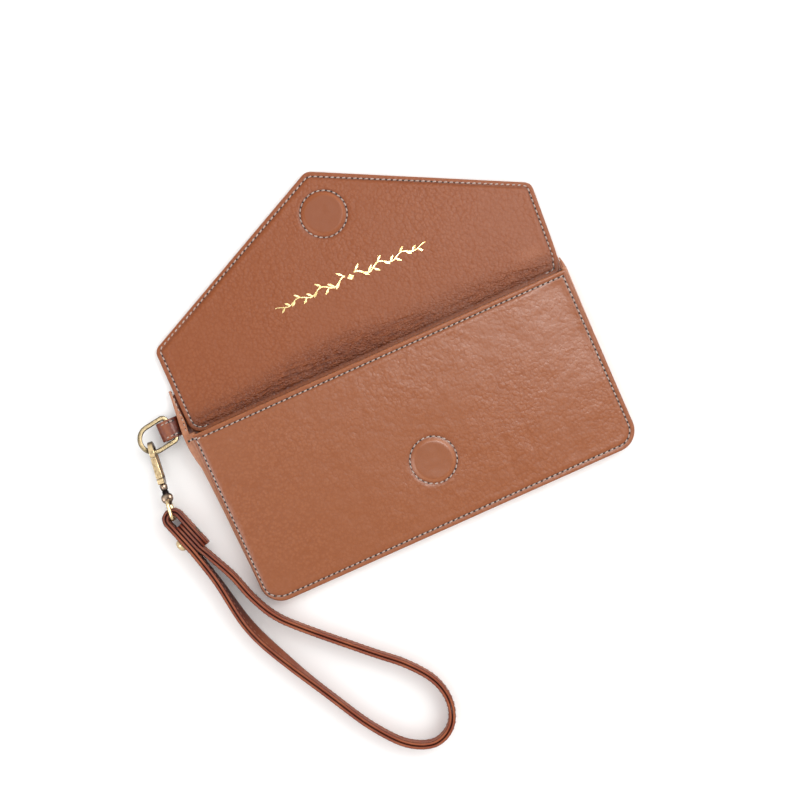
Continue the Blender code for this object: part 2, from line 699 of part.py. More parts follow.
def build_wallet():
    clear_scene()
    pouch = make_frame("pouch_frame", None, (0, 0, 0))
    build_back(pouch)
    build_gusset("left_gusset", -1, LEFT_BULGE, pouch)
    build_gusset("right_gusset", 1, RIGHT_BULGE, pouch)
    build_ears_and_tab(pouch)

    front = make_frame("mouth_hinge", pouch, (0, BOTTOM_Y, FRONT_HINGE_Z),
                       Matrix.Rotation(FRONT_SLOPE, 3, "X"))
    build_front(front)

    spine = make_frame("spine_fold_line", pouch, (0, SPINE_FOLD_Y, FLAP_INNER_Z))
    build_spine(spine)
    flap = make_frame("flap_fold_line", spine, (0, SPINE_LENGTH, 0))
    build_flap(flap)

    yaw = Matrix.Rotation(math.pi + RING_YAW, 3, "Z")
    tilt = Matrix.Rotation(-RING_TILT, 3, "Y")
    ring_turn = yaw @ tilt
    ring = make_frame("ring_pivot", pouch, RING_BAR, ring_turn)
    build_d_ring(ring)

    on_ring = Vector((RING_STRAIGHT + RING_HALF_WIDTH * math.cos(HOOK_ANGLE_ON_RING),
                      RING_HALF_WIDTH * math.sin(HOOK_ANGLE_ON_RING), 0))
    stand_up = Matrix(((1, 0, 0), (0, 0, -1), (0, 1, 0)))
    hook_turn = Matrix.Rotation(HOOK_YAW, 3, "Z") @ stand_up
    clasp = make_frame("clasp_pivot", ring, on_ring, ring_turn.inverted() @ hook_turn)
    build_clasp(clasp)
    gate = make_frame("gate_pivot", clasp, (GATE_PIVOT[0], GATE_PIVOT[1] + HOOK_AXIS_Y, 0))
    build_gate(gate)
    swivel = make_frame("swivel_axis", clasp, (0, HOOK_AXIS_Y, 0))
    build_swivel(swivel)
    strap = make_frame("strap_pivot_line", swivel, (EYE_BAR_X, 0, 0), hook_turn.inverted())
    build_strap(strap)


build_wallet()
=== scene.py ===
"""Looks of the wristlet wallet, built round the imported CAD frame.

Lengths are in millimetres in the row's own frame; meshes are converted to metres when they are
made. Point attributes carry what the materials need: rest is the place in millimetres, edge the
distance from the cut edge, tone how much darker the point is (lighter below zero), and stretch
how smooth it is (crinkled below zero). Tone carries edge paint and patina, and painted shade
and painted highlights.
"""

import json
import math

import bpy
import numpy as np
from mathutils import Matrix, Vector


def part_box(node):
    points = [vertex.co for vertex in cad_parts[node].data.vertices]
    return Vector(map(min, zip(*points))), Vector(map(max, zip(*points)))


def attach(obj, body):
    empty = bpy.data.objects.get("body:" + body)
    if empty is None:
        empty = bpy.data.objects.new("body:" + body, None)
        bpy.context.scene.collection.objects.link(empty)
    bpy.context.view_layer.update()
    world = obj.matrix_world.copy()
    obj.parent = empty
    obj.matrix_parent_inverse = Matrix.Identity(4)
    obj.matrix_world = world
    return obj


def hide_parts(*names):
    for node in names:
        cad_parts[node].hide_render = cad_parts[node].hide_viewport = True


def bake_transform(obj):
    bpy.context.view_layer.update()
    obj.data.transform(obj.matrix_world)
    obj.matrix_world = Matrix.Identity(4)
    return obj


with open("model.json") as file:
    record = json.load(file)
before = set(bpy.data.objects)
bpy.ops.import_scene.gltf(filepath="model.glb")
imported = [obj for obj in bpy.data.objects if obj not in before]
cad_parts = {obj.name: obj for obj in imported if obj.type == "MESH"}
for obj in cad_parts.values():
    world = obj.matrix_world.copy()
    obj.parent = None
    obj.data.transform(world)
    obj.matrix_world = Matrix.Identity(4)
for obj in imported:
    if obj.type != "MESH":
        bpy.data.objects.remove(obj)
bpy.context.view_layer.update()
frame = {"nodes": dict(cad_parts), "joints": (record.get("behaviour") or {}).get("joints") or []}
MM = 0.001


# ---------------------------------------------------------------- sizes from the frame

def node_box(name):
    low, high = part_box(name)
    return low / MM, high / MM


def joint_point(name):
    joint = next(j for j in frame["joints"] if j["name"] == name)
    return Vector(joint["pos_m"]) / MM


def joint_axis(name):
    joint = next(j for j in frame["joints"] if j["name"] == name)
    return Vector(joint["axis"]).normalized()


def widest_face_normal(name):
    """Normal of a flat CAD wall, pointing up."""
    face = max(frame["nodes"][name].data.polygons, key=lambda polygon: polygon.area)
    return face.normal if face.normal.z > 0 else -face.normal


BACK_LOW, BACK_HIGH = node_box("back_panel")
SPINE_HIGH = node_box("spine_lining")[1]
FLAP_LOW, FLAP_HIGH = node_box("flap_outer")
SPINE_FOLD = joint_point("spine_fold")
FLAP_FOLD = joint_point("flap_fold")
MOUTH_HINGE = joint_point("mouth_open")
FRONT_NORMAL = widest_face_normal("front_lining")
FRONT_ALONG = Vector((0, FRONT_NORMAL.z, -FRONT_NORMAL.y))
SLOPE = math.atan2(-FRONT_NORMAL.y, FRONT_NORMAL.z)

HALF_WIDTH = BACK_HIGH.x
BOTTOM_Y = BACK_LOW.y
FRONT_LENGTH = -2 * BOTTOM_Y / math.cos(SLOPE)
CORNER_RADIUS = 11.0

# Leather and seams
INLAND = 20.0
PITCH = 2.9
SEAM_INSET = 2.6
THREAD = 0.33
RING_SEAM_RADIUS = 12.1
DISC_RADIUS = 10.25
DISC_HEIGHT = 0.8
MAGNET_X = (node_box("front_magnet")[0].x + node_box("front_magnet")[1].x) / 2
APEX_X = MAGNET_X + 0.45
FRONT_MAGNET_S = 35.2
FLAP_MAGNET_Y = (node_box("flap_magnet")[0].y + node_box("flap_magnet")[1].y) / 2
FRONT_TOP = 3.0
FLAP_TOP = FLAP_FOLD.z
LINING_SHARE = (HALF_WIDTH - 1.0) / HALF_WIDTH
FINE_SPACING = 0.8


# ---------------------------------------------------------------- curves and noise

def ease(t):
    t = np.clip(t, 0.0, 1.0)
    return t * t * (3 - 2 * t)


def bell(t):
    return np.exp(-t ** 2)


def level(height):
    """Flat surface: the same height everywhere."""
    return lambda x, *others: height + 0 * x


def unit(rows):
    """Each row scaled to length 1."""
    return rows / np.linalg.norm(rows, axis=1)[:, None]


def ahead_on_loop(path):
    return unit(np.roll(path, -1, axis=0) - np.roll(path, 1, axis=0))


def cell_value(ix, iy, seed):
    """Repeatable value in 0..1 for each cell of a square lattice."""
    h = (ix * 374761393 + iy * 668265263 + seed * 974711) & 0xFFFFFFFF
    h = ((h ^ (h >> 13)) * 1274126177) & 0xFFFFFFFF
    return ((h ^ (h >> 16)) & 0xFFFF) / 65535.0


def noise(x, y, seed):
    """Smooth noise in -1..1, one lump per unit."""
    ix = np.floor(x).astype(np.int64)
    iy = np.floor(y).astype(np.int64)
    fx, fy = ease(x - ix), ease(y - iy)
    low = cell_value(ix, iy, seed) * (1 - fx) + cell_value(ix + 1, iy, seed) * fx
    high = cell_value(ix, iy + 1, seed) * (1 - fx) + cell_value(ix + 1, iy + 1, seed) * fx
    return 2 * (low * (1 - fy) + high * fy) - 1


def layered_noise(x, y, seed):
    return sum(noise(x * 2 ** k, y * 2 ** k, seed + k) / 2 ** k for k in range(3)) / 1.75


# ---------------------------------------------------------------- outlines

def rounded(corners, steps=8):
    """Polygon with each (x, y, radius) corner replaced by a fillet."""
    points = []
    for i, (x, y, radius) in enumerate(corners):
        here = Vector((x, y))
        before = (Vector(corners[i - 1][:2]) - here).normalized()
        after = (Vector(corners[(i + 1) % len(corners)][:2]) - here).normalized()
        half = before.angle(after) / 2
        centre = here + (before + after).normalized() * radius / math.sin(half)
        reach = radius / math.tan(half)
        start = here + before * reach - centre
        sweep = start.angle_signed(here + after * reach - centre)
        for k in range(steps + 1):
            points.append(tuple(centre + Matrix.Rotation(-sweep * k / steps, 2) @ start))
    return np.array(points)


def arc(centre, radius, start, end, count):
    angles = np.radians(np.linspace(start, end, count + 1))
    return [(centre[0] + radius * math.cos(a), centre[1] + radius * math.sin(a)) for a in angles]


def body_outline(top, bottom, inset=0.0, top_radius=0.6):
    half = HALF_WIDTH - inset
    radius = CORNER_RADIUS - inset
    return rounded([(-half, bottom + inset, radius), (half, bottom + inset, radius),
                    (half, top - inset, top_radius), (-half, top - inset, top_radius)])


def flap_outline(base, inset=0.0):
    """Envelope flap with rounded base corners, from the spine fold to its point."""
    left = FLAP_LOW.x + inset
    right = SPINE_HIGH.x - inset
    shoulder = 96.0 - inset * 0.25
    return rounded([(left, base + inset, 7.5 - inset * 0.8), (right - 2.4, base + inset, 3.2),
                    (right, 58.0 - inset * 0.4, 7.0),
                    (FLAP_HIGH.x - inset, shoulder, 4.6 - inset * 0.4),
                    (APEX_X, FLAP_HIGH.y + 0.7 - inset * 1.1, 6.0),
                    (left, shoulder, 4.6 - inset * 0.4)])


def side_of(outline, middle, sign):
    """Edge position as a function of height, for one side of an outline."""
    mine = outline[(outline[:, 0] - middle) * sign >= -1e-6]
    mine = mine[np.argsort(mine[:, 1], kind="stable")]
    return lambda y: np.interp(y, mine[:, 1], mine[:, 0])


def outline_distance(x, y, outline):
    best = np.full(np.shape(x), 1e9)
    for (ax, ay), (bx, by) in zip(outline, np.roll(outline, -1, axis=0)):
        ex, ey = bx - ax, by - ay
        t = np.clip(((x - ax) * ex + (y - ay) * ey) / (ex * ex + ey * ey + 1e-12), 0, 1)
        best = np.minimum(best, np.hypot(x - ax - t * ex, y - ay - t * ey))
    return best


def resample(points, pitch, closed):
    """Evenly spaced points along a line, with the direction at each."""
    points = np.array(points, float)
    if closed:
        points = np.vstack([points, points[:1]])
    lengths = np.concatenate([[0], np.cumsum(np.linalg.norm(np.diff(points, axis=0), axis=1))])
    count = max(2, int(round(lengths[-1] / pitch)))
    at = np.linspace(0, lengths[-1], count + 1)
    if closed:
        at = at[:-1]
    spots = np.stack([np.interp(at, lengths, column) for column in points.T], 1)
    ahead = np.minimum(at + 0.3, lengths[-1])
    behind = np.maximum(at - 0.3, 0)
    along = np.stack([np.interp(ahead, lengths, column) - np.interp(behind, lengths, column)
                      for column in points.T], 1)
    return spots, unit(along)


# ---------------------------------------------------------------- meshes

def make_object(name, vertices, faces, attributes, materials, face_material=None, smooth=True):
    """Millimetre vertices become a named mesh object with its point attributes."""
    mesh = bpy.data.meshes.new(name)
    vertices = np.asarray(vertices, float)
    mesh.from_pydata((vertices * MM).tolist(), [], faces)
    mesh.update()
    rest = mesh.attributes.new("rest", "FLOAT_VECTOR", "POINT")
    rest.data.foreach_set("vector", vertices.astype(np.float32).ravel())
    for key, values in attributes.items():
        layer = mesh.attributes.new(key, "FLOAT", "POINT")
        layer.data.foreach_set("value", np.asarray(values, np.float32).ravel())
    for material in materials:
        mesh.materials.append(material)
    if face_material is not None:
        mesh.polygons.foreach_set("material_index", np.asarray(face_material, np.int32))
    if smooth:
        mesh.shade_smooth()
    obj = bpy.data.objects.new(name, mesh)
    bpy.context.scene.collection.objects.link(obj)
    return obj


def assign(piece, body, slot, *nodes):
    """The body a piece rides on, and the CAD nodes that it stands in for; slot is not used."""
    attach(piece, body)
    if nodes:
        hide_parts(*nodes)


def edge_steps(radius, fine=0.36, reach=4.0):
    """Distances from a cut edge: close together where it is rounded and along the seam."""
    steps = [radius * (1 - math.cos(math.radians(a))) for a in (0, 32, 55, 75, 90)]
    while steps[-1] < reach:
        steps.append(steps[-1] + fine)
    return np.array(steps)


def spread(low, high, steps, spacing, fine=None):
    """Row positions: close together at both edges and inside the fine range."""
    start, end = low + steps[-1], high - steps[-1]
    inner = []
    if fine is not None:
        limit, step = fine
        inner = list(np.arange(start + step, limit, step))
        start = limit
    inner += list(np.linspace(start, end, max(3, int((end - start) / spacing)))[1:-1])
    return np.concatenate([low + steps, inner, (high - steps)[::-1]])


def sheet(name, outline, middle, top, bottom, edge, spacing, place, material, reach=4.0,
          fine=None):
    """Closed sheet of leather or cloth with rounded cut edges.

    top and bottom give the height over (x, y, distance from the edge); place turns the
    sheet's own coordinates into the row's frame.
    """
    steps = edge_steps(edge, reach=reach)
    left, right = side_of(outline, middle, -1), side_of(outline, middle, 1)
    rows = spread(outline[:, 1].min(), outline[:, 1].max(), steps, spacing, fine)
    rows[0] += 1e-4
    rows[-1] -= 1e-4
    widest = outline[:, 0].max() - outline[:, 0].min()
    inner = int(widest / spacing)
    grid = []
    for y in rows:
        low, high = float(left(y)), float(right(y))
        lean_left = math.hypot(1, (left(y + 0.2) - left(y - 0.2)) / 0.4)
        lean_right = math.hypot(1, (right(y + 0.2) - right(y - 0.2)) / 0.4)
        most = 0.42 * (high - low) / steps[-1]
        from_left = steps * min(lean_left, 2.6, most)
        from_right = steps * min(lean_right, 2.6, most)
        centre = np.linspace(low + from_left[-1], high - from_right[-1], inner + 2)[1:-1]
        grid.append(np.concatenate([low + from_left, centre, (high - from_right)[::-1]]))
    x = np.array(grid)
    y = np.repeat(rows[:, None], x.shape[1], 1)
    d = outline_distance(x, y, outline)
    d[0, :] = d[-1, :] = d[:, 0] = d[:, -1] = 0.0
    fall = edge - np.sqrt(np.maximum(edge ** 2 - np.maximum(edge - d, 0) ** 2, 0))
    surface = top(x, y, d)
    if not isinstance(surface, tuple):
        surface = (surface, 0 * x, 0 * x)
    upper, tone, stretch = surface
    return close_sheet(name, x, y, upper - fall, bottom(x, y, d) + fall, (d, tone, stretch),
                       place, material)


def close_sheet(name, x, y, upper, under, edge_tone_stretch, place, material):
    """Two grids of the same size, joined along their border."""
    rows, columns = x.shape
    count = rows * columns
    index = np.arange(count).reshape(rows, columns)
    quads = np.stack([index[:-1, :-1], index[:-1, 1:], index[1:, 1:], index[1:, :-1]], -1)
    quads = quads.reshape(-1, 4)
    border = np.concatenate([index[0, :-1], index[:-1, -1], index[-1, :0:-1], index[:0:-1, 0]])
    ahead = np.roll(border, -1)
    walls = np.stack([border + count, ahead + count, ahead, border], 1)
    faces = np.concatenate([quads, quads[:, ::-1] + count, walls])
    local = np.concatenate([np.stack([x, y, upper], -1).reshape(-1, 3),
                            np.stack([x, y, under], -1).reshape(-1, 3)])
    # The tone carries edge paint, painted shade and painted highlights.
    d, tone, stretch = (values.ravel() for values in edge_tone_stretch)
    blank = np.zeros(count)
    attributes = {"edge": np.concatenate([d, d]), "tone": np.concatenate([tone, blank]),
                  "stretch": np.concatenate([stretch, blank])}
    return make_object(name, place(local), faces.tolist(), attributes, [material])


def flat_place(points):
    return points


def front_place(points):
    """Front wall's own frame: along the width, up from the bottom seam, and outwards."""
    along, up = np.array(FRONT_ALONG), np.array(FRONT_NORMAL)
    base = np.array((0, MOUTH_HINGE.y, MOUTH_HINGE.z))
    return (base + points[:, :1] * np.array((1.0, 0, 0)) + points[:, 1:2] * along
            + points[:, 2:3] * up)


def tube_faces(count, size, closed=False):
    """Quads between neighbouring rings of points, with a cap on each end of an open tube."""
    faces = []
    for i in range(count if closed else count - 1):
        j = (i + 1) % count
        for k in range(size):
            m = (k + 1) % size
            faces.append((i * size + k, i * size + m, j * size + m, j * size + k))
    if not closed:
        faces.append(tuple(range(size - 1, -1, -1)))
        faces.append(tuple((count - 1) * size + k for k in range(size)))
    return faces


def sweep(name, centres, rights, ups, section, material, tones=0.0):
    """Skin a closed section (right, up) along a path; tones has a row for each path point."""
    if section.ndim == 2:
        section = np.repeat(section[None], len(centres), 0)
    rings = (centres[:, None] + rights[:, None] * section[:, :, :1]
             + ups[:, None] * section[:, :, 1:])
    count, size = rings.shape[:2]
    return make_object(name, rings.reshape(-1, 3), tube_faces(count, size),
                       {"edge": np.full(count * size, INLAND),
                        "tone": (np.zeros((count, size)) + tones).ravel()}, [material])


def rounded_bar(width, height, radius, steps=4):
    """Section of a strip with rounded corners, anticlockwise."""
    half_w, half_h = width / 2, height / 2
    corners = [(-half_w, -half_h, radius), (half_w, -half_h, radius),
               (half_w, half_h, radius), (-half_w, half_h, radius)]
    return rounded(corners, steps)


# ---------------------------------------------------------------- materials

class Nodes:
    """Short way to write a material's node tree."""

    def __init__(self, name):
        self.material = bpy.data.materials.new(name)
        self.material.use_nodes = True
        self.tree = self.material.node_tree
        self.shader = self.tree.nodes["Principled BSDF"]

    def add(self, kind, inputs=None, **settings):
        node = self.tree.nodes.new(kind)
        for key, value in settings.items():
            setattr(node, key, value)
        for key, value in (inputs or {}).items():
            if isinstance(value, bpy.types.NodeSocket):
                self.tree.links.new(value, node.inputs[key])
            else:
                node.inputs[key].default_value = value
        return node

    def attribute(self, name, output="Fac"):
        return self.add("ShaderNodeAttribute", attribute_name=name).outputs[output]

    def noise(self, vector, scale, detail=3.0, roughness=0.55):
        return self.add("ShaderNodeTexNoise", {"Vector": vector, "Scale": scale, "Detail": detail,
                                               "Roughness": roughness}).outputs["Fac"]

    def ramp(self, value, low, high, to_low=0.0, to_high=1.0):
        return self.add("ShaderNodeMapRange", {"Value": value, "From Min": low, "From Max": high,
                                               "To Min": to_low, "To Max": to_high},
                        interpolation_type="SMOOTHSTEP").outputs["Result"]

    def math(self, operation, a, b):
        return self.add("ShaderNodeMath", {0: a, 1: b}, operation=operation).outputs[0]

    def times(self, a, b):
        return self.math("MULTIPLY", a, b)

    def mix(self, factor, a, b):
        return self.add("ShaderNodeMix", {"Factor": factor, 6: a, 7: b},
                        data_type="RGBA").outputs[2]

    def bump(self, height, distance, strength=1.0, normal=None):
        inputs = {"Height": height, "Distance": distance, "Strength": strength}
        if normal is not None:
            inputs["Normal"] = normal
        return self.add("ShaderNodeBump", inputs).outputs["Normal"]

    def set(self, **inputs):
        for key, value in inputs.items():
            name = key.replace("_", " ")
            if isinstance(value, bpy.types.NodeSocket):
                self.tree.links.new(value, self.shader.inputs[name])
            else:
                self.shader.inputs[name].default_value = value
        return self.material


STUDIO_LIGHT = 1.51
SURFACE_VEIL = 0.058
METAL_LIGHT = 1.55


def linear(value):
    return value / 255 / 12.92 if value <= 10 else ((value / 255 + 0.055) / 1.055) ** 2.4


def colour(*display):
    """Base colour that shows as this 0..255 colour, below the studio's surface reflection."""
    return (*[max((linear(c) - SURFACE_VEIL) / STUDIO_LIGHT, 0.002) for c in display], 1.0)


def metal_colour(*display):
    return (*[linear(c) / METAL_LIGHT for c in display], 1.0)


def scaled(base, *factors):
    return (*[min(c * f, 1.0) for c, f in zip(base, factors)], 1.0)


def leather(name, main, dark, light, pebble=1.9, grain=1.0, shine=0.42, gloss=0.3,
            draw=(1.1, 0.8, 1.0)):
    """Soft pebbled calf: shallow rounded cells, finer crinkles and burnished cut edges.

    The tone attribute darkens the leather above zero, for edge paint and painted shade, and
    lightens it below zero, for painted highlights. The stretch attribute smooths the pebbles above
    zero and crinkles the leather below zero.
    """
    n = Nodes(name)
    rest = n.attribute("rest", "Vector")
    edge = n.attribute("edge")
    tone = n.attribute("tone")
    stretch = n.attribute("stretch")
    bent = n.add("ShaderNodeTexNoise", {"Vector": rest, "Scale": 0.45, "Detail": 2.0})
    moved = n.add("ShaderNodeVectorMath", {0: bent.outputs["Color"], 1: (1.3, 1.3, 1.3)},
                  operation="MULTIPLY").outputs[0]
    warped = n.add("ShaderNodeVectorMath", {0: rest, 1: moved}, operation="ADD").outputs[0]
    drawn = n.add("ShaderNodeVectorMath", {0: warped, 1: draw},
                  operation="MULTIPLY").outputs[0]

    def cells(vector, size):
        return n.add("ShaderNodeTexVoronoi", {"Vector": vector, "Scale": 1 / size,
                                              "Smoothness": 0.45, "Randomness": 0.9},
                     feature="SMOOTH_F1").outputs["Distance"]

    large = cells(warped, pebble)
    small = cells(drawn, pebble * 0.5)
    broad = n.noise(rest, 0.028, 3.0)
    patch = n.noise(rest, 0.25, 4.0, 0.6)
    pores = n.noise(rest, 4.2, 2.0)
    crinkled = n.math("MAXIMUM", n.times(stretch, -1.0), 0.0)
    amount = n.times(n.ramp(stretch, 0.0, 1.0, 1.0, 0.12),
                    n.ramp(broad, 0.3, 0.7, 0.6, 1.15))
    fine = n.math("ADD", 0.22, n.times(crinkled, 3.0))
    base = n.mix(n.ramp(broad, 0.38, 0.62), scaled(main, 0.96, 0.95, 0.94), main)
    base = n.mix(n.ramp(patch, 0.45, 0.75, 0.0, 0.12), base, light)
    # Darker in the hollows between the pebbles, as grain colour and painted shade; crinkled leather
    # gets much darker hollows, which is painted shade.
    base = n.mix(n.times(n.ramp(large, 0.2, 0.65, 0.0, 0.60 * grain ** 0.3), amount),
                 base, dark)
    base = n.mix(n.times(n.ramp(small, 0.2, 0.75, 0.0, 0.2),
                        n.times(fine, amount)), base, scaled(dark, 0.75, 0.6, 0.5))
    # Painted shade and edge paint darken the leather; painted highlights lighten it.
    shade_and_edge_paint = n.math("MAXIMUM", tone, 0.0)
    painted_highlight = n.math("MAXIMUM", n.times(tone, -1.0), 0.0)
    base = n.mix(shade_and_edge_paint, base, scaled(dark, 0.34, 0.22, 0.16))
    base = n.mix(painted_highlight, base, scaled(light, 1.5, 1.62, 1.8))
    worn = n.times(n.ramp(edge, 0.12, 0.8, 1.0, 0.0), n.ramp(patch, 0.3, 0.7, 0.25, 0.7))
    worn = n.times(worn, n.ramp(shade_and_edge_paint, 0.0, 0.4, 1.0, 0.0))
    base = n.mix(worn, base, scaled(light, 1.15, 1.12, 1.08))
    dome = n.math("SUBTRACT", 1.0, n.times(large, large))
    bead = n.math("SUBTRACT", 1.0, n.times(small, small))
    height = n.math("ADD", n.times(dome, 0.7), n.times(bead, fine))
    height = n.times(height, amount)
    normal = n.bump(height, 0.0003 * grain)
    normal = n.bump(patch, 0.00008, 0.5, normal)
    normal = n.bump(pores, 0.00003, 0.6, normal)
    rough = n.ramp(pores, 0.3, 0.7, shine - 0.04, shine + 0.06)
    return n.set(Base_Color=base, Roughness=rough, Normal=normal, Specular_IOR_Level=gloss)


def cut_edge_leather(name):
    """Strap leather: pale middle of each cut edge, dark rims that are part burnished edge and part
    painted shade between the plies, and brown faces.
    """
    n = Nodes(name)
    rest = n.attribute("rest", "Vector")
    tone = n.attribute("tone")
    fibre = n.noise(rest, 1.6, 4.0, 0.65)
    broad = n.noise(rest, 0.09, 2.0)
    base = n.mix(n.ramp(broad, 0.35, 0.68), colour(156, 88, 62), colour(176, 106, 78))
    base = n.mix(n.ramp(fibre, 0.45, 0.75, 0.0, 0.4), base, colour(192, 126, 96))
    # Tone: dark rims, part burnished edge and part painted shade between the plies, and painted
    # shade on the inner face.
    base = n.mix(tone, base, colour(96, 40, 28))
    normal = n.bump(fibre, 0.0002, 0.7)
    return n.set(Base_Color=base, Roughness=n.ramp(fibre, 0.3, 0.7, 0.45, 0.62), Normal=normal,
                 Specular_IOR_Level=0.22)


def thread(name, shade):
    """Waxed linen thread: two plies twisted together."""
    n = Nodes(name)
    rest = n.attribute("rest", "Vector")
    twist = n.add("ShaderNodeTexWave", {"Vector": rest, "Scale": 1.5, "Distortion": 1.0,
                                        "Detail": 1.0}, bands_direction="DIAGONAL").outputs["Fac"]
    dirt = n.noise(rest, 0.7, 3.0)
    # Darker in the grooves of the twist: painted shade.
    base = n.mix(n.ramp(twist, 0.1, 0.8, 0.45, 0.0), shade, colour(120, 88, 74))
    base = n.mix(n.ramp(dirt, 0.45, 0.75, 0.0, 0.5), base, colour(158, 122, 104))
    return n.set(Base_Color=base, Roughness=0.62, Normal=n.bump(twist, 0.0001, 0.8),
                 Sheen_Weight=0.2, Specular_IOR_Level=0.35)


# Needle holes coloured near black: painted shade in each hole.
def needle_hole_shade():
    n = Nodes("needle_hole_shade")
    speck = n.noise(n.attribute("rest", "Vector"), 2.0)
    base = n.mix(speck, colour(38, 20, 18), colour(74, 42, 34))
    return n.set(Base_Color=base, Roughness=0.9)


def twill(name, main, dark):
    """Diagonal woven lining."""
    n = Nodes(name)
    rest = n.attribute("rest", "Vector")
    weave = n.add("ShaderNodeTexWave", {"Vector": rest, "Scale": 0.55, "Distortion": 0.6,
                                        "Detail": 2.0, "Detail Scale": 3.0},
                  bands_direction="DIAGONAL").outputs["Fac"]
    fuzz = n.noise(rest, 3.0, 3.0)
    # Darker between the ribs of the weave: painted shade.
    base = n.mix(n.ramp(weave, 0.2, 0.8), dark, main)
    base = n.mix(n.ramp(fuzz, 0.4, 0.8, 0.0, 0.3), base, (main[0] * 1.3, main[1] * 1.3,
                                                          main[2] * 1.3, 1))
    return n.set(Base_Color=base, Roughness=0.85, Normal=n.bump(weave, 0.00012, 0.8),
                 Sheen_Weight=0.05, Specular_IOR_Level=0.2)


def antique_brass(name, bright, dull, black):
    """Plated brass; the tone attribute darkens it, for patina in hollows and for painted shade on
    sides turned away from the light.
    """
    n = Nodes(name)
    rest = n.attribute("rest", "Vector")
    tone = n.attribute("tone")
    stain = n.noise(rest, 0.45, 4.0, 0.6)
    fine = n.noise(rest, 3.2, 4.0, 0.6)
    base = n.mix(n.ramp(stain, 0.35, 0.7), dull, bright)
    base = n.mix(n.ramp(fine, 0.6, 0.9, 0.0, 0.12), base, black)
    # Tone: patina and painted shade.
    base = n.mix(tone, base, black)
    rough = n.math("ADD", n.ramp(stain, 0.3, 0.7, 0.24, 0.36), n.times(tone, 0.15))
    normal = n.bump(fine, 0.00001, 0.5)
    return n.set(Base_Color=base, Metallic=1.0, Roughness=rough, Normal=normal)


def plain_steel(name):
    n = Nodes(name)
    spot = n.add("ShaderNodeTexCoord").outputs["Object"]
    local = n.add("ShaderNodeMapping", {"Vector": spot, "Scale": (1000, 1000, 1000)}).outputs[0]
    drawn = n.noise(local, 3.0, 3.0)
    base = n.mix(drawn, (0.38, 0.37, 0.36, 1), (0.62, 0.61, 0.59, 1))
    return n.set(Base_Color=base, Metallic=1.0, Roughness=n.ramp(drawn, 0.3, 0.7, 0.22, 0.4))


TAN = leather("tan_pebbled_leather", colour(174, 112, 82), colour(158, 97, 68),
              colour(190, 131, 100), pebble=1.7, grain=0.42, shine=0.38)
FLAP_TAN = leather("flap_leather", colour(170, 107, 79), colour(157, 95, 68),
                   colour(182, 122, 94), pebble=1.7, grain=0.7, shine=0.48, gloss=0.2,
                   draw=(0.62, 1.15, 1.0))
# Lighter copy of the tan leather for the side walls and ear strips, standing in for the light they
# catch: painted light.
GUSSET_TAN = leather("gusset_leather", colour(208, 150, 120), colour(184, 122, 94),
                     colour(222, 170, 142), pebble=1.8, grain=0.5)
DARK = leather("tab_leather", colour(152, 90, 62), colour(116, 62, 42),
               colour(184, 124, 92), pebble=1.5, grain=0.7)
STRAP_EDGE = cut_edge_leather("strap_edge_leather")
THREAD_MATERIAL = thread("waxed_thread", colour(232, 213, 202))
STRAP_THREAD = thread("strap_thread", colour(176, 122, 98))
HOLE_SHADE_MATERIAL = needle_hole_shade()
LINING = twill("twill_lining", colour(158, 118, 90), colour(118, 84, 62))
BRASS = antique_brass("antique_brass", metal_colour(142, 128, 100), metal_colour(124, 110, 85),
                      metal_colour(58, 44, 30))
# Lighter copy of the antique brass for the hook, gate, eye and rivet dome, standing in for the
# light their tops catch: painted reflection.
PALE_BRASS = antique_brass("pale_brass", metal_colour(232, 206, 162), metal_colour(224, 197, 152),
                           metal_colour(84, 60, 46))
DARK_BRASS = antique_brass("dark_brass", metal_colour(196, 172, 150), metal_colour(130, 108, 92),
                           metal_colour(30, 24, 24))
FOIL = antique_brass("gold_foil", metal_colour(255, 238, 178), metal_colour(246, 222, 150),
                     metal_colour(190, 150, 84))
STEEL = plain_steel("drawn_steel")


# ---------------------------------------------------------------- stitches

def stitch_row(name, spots, alongs, heights, place, up=1.0, slant=0.16, size=1.0, hole=0.64,
               fibre=THREAD_MATERIAL):
    """Row of saddle stitches with a needle hole between each pair, as one mesh."""
    length, radius = PITCH * 0.66 * size, THREAD * size
    profile = [(-0.5, 0.30, -0.34), (-0.40, 0.80, -0.12), (-0.2, 1.0, 0.06), (0.0, 1.05, 0.12),
               (0.2, 1.0, 0.06), (0.40, 0.80, -0.12), (0.5, 0.30, -0.34)]
    ring = arc((0, 0), 1.0, 0, 315, 7)
    vertices, faces, kind = [], [], []
    for (x, y), (ax, ay), z in zip(spots, alongs, heights):
        turn_x, turn_y = ax - ay * slant, ay + ax * slant
        stitch = [(x + turn_x * share * length - turn_y * out * radius * thick,
                   y + turn_y * share * length + turn_x * out * radius * thick,
                   z + up * (rise * radius * thick * 0.8 + lift * radius * 2.0 + 0.10))
                  for share, thick, lift in profile for out, rise in ring]
        hole_x, hole_y = x + ax * PITCH * size / 2, y + ay * PITCH * size / 2
        pit = [(hole_x + wide * size * out, hole_y + wide * size * aside, z + up * rise)
               for wide, rise in ((hole, -0.12), (hole - 0.07, 0.06), (hole - 0.3, 0.09))
               for out, aside in ring]
        for material, points in enumerate((stitch, pit)):
            sides = tube_faces(len(points) // len(ring), len(ring))
            faces += [tuple(len(vertices) + k for k in face) for face in sides]
            kind += [material] * len(sides)
            vertices += points
    if up < 0:
        faces = [tuple(reversed(face)) for face in faces]
    return make_object(name, place(np.array(vertices)), faces,
                       {"edge": [INLAND] * len(vertices), "tone": [0.0] * len(vertices)},
                       [fibre, HOLE_SHADE_MATERIAL], kind)


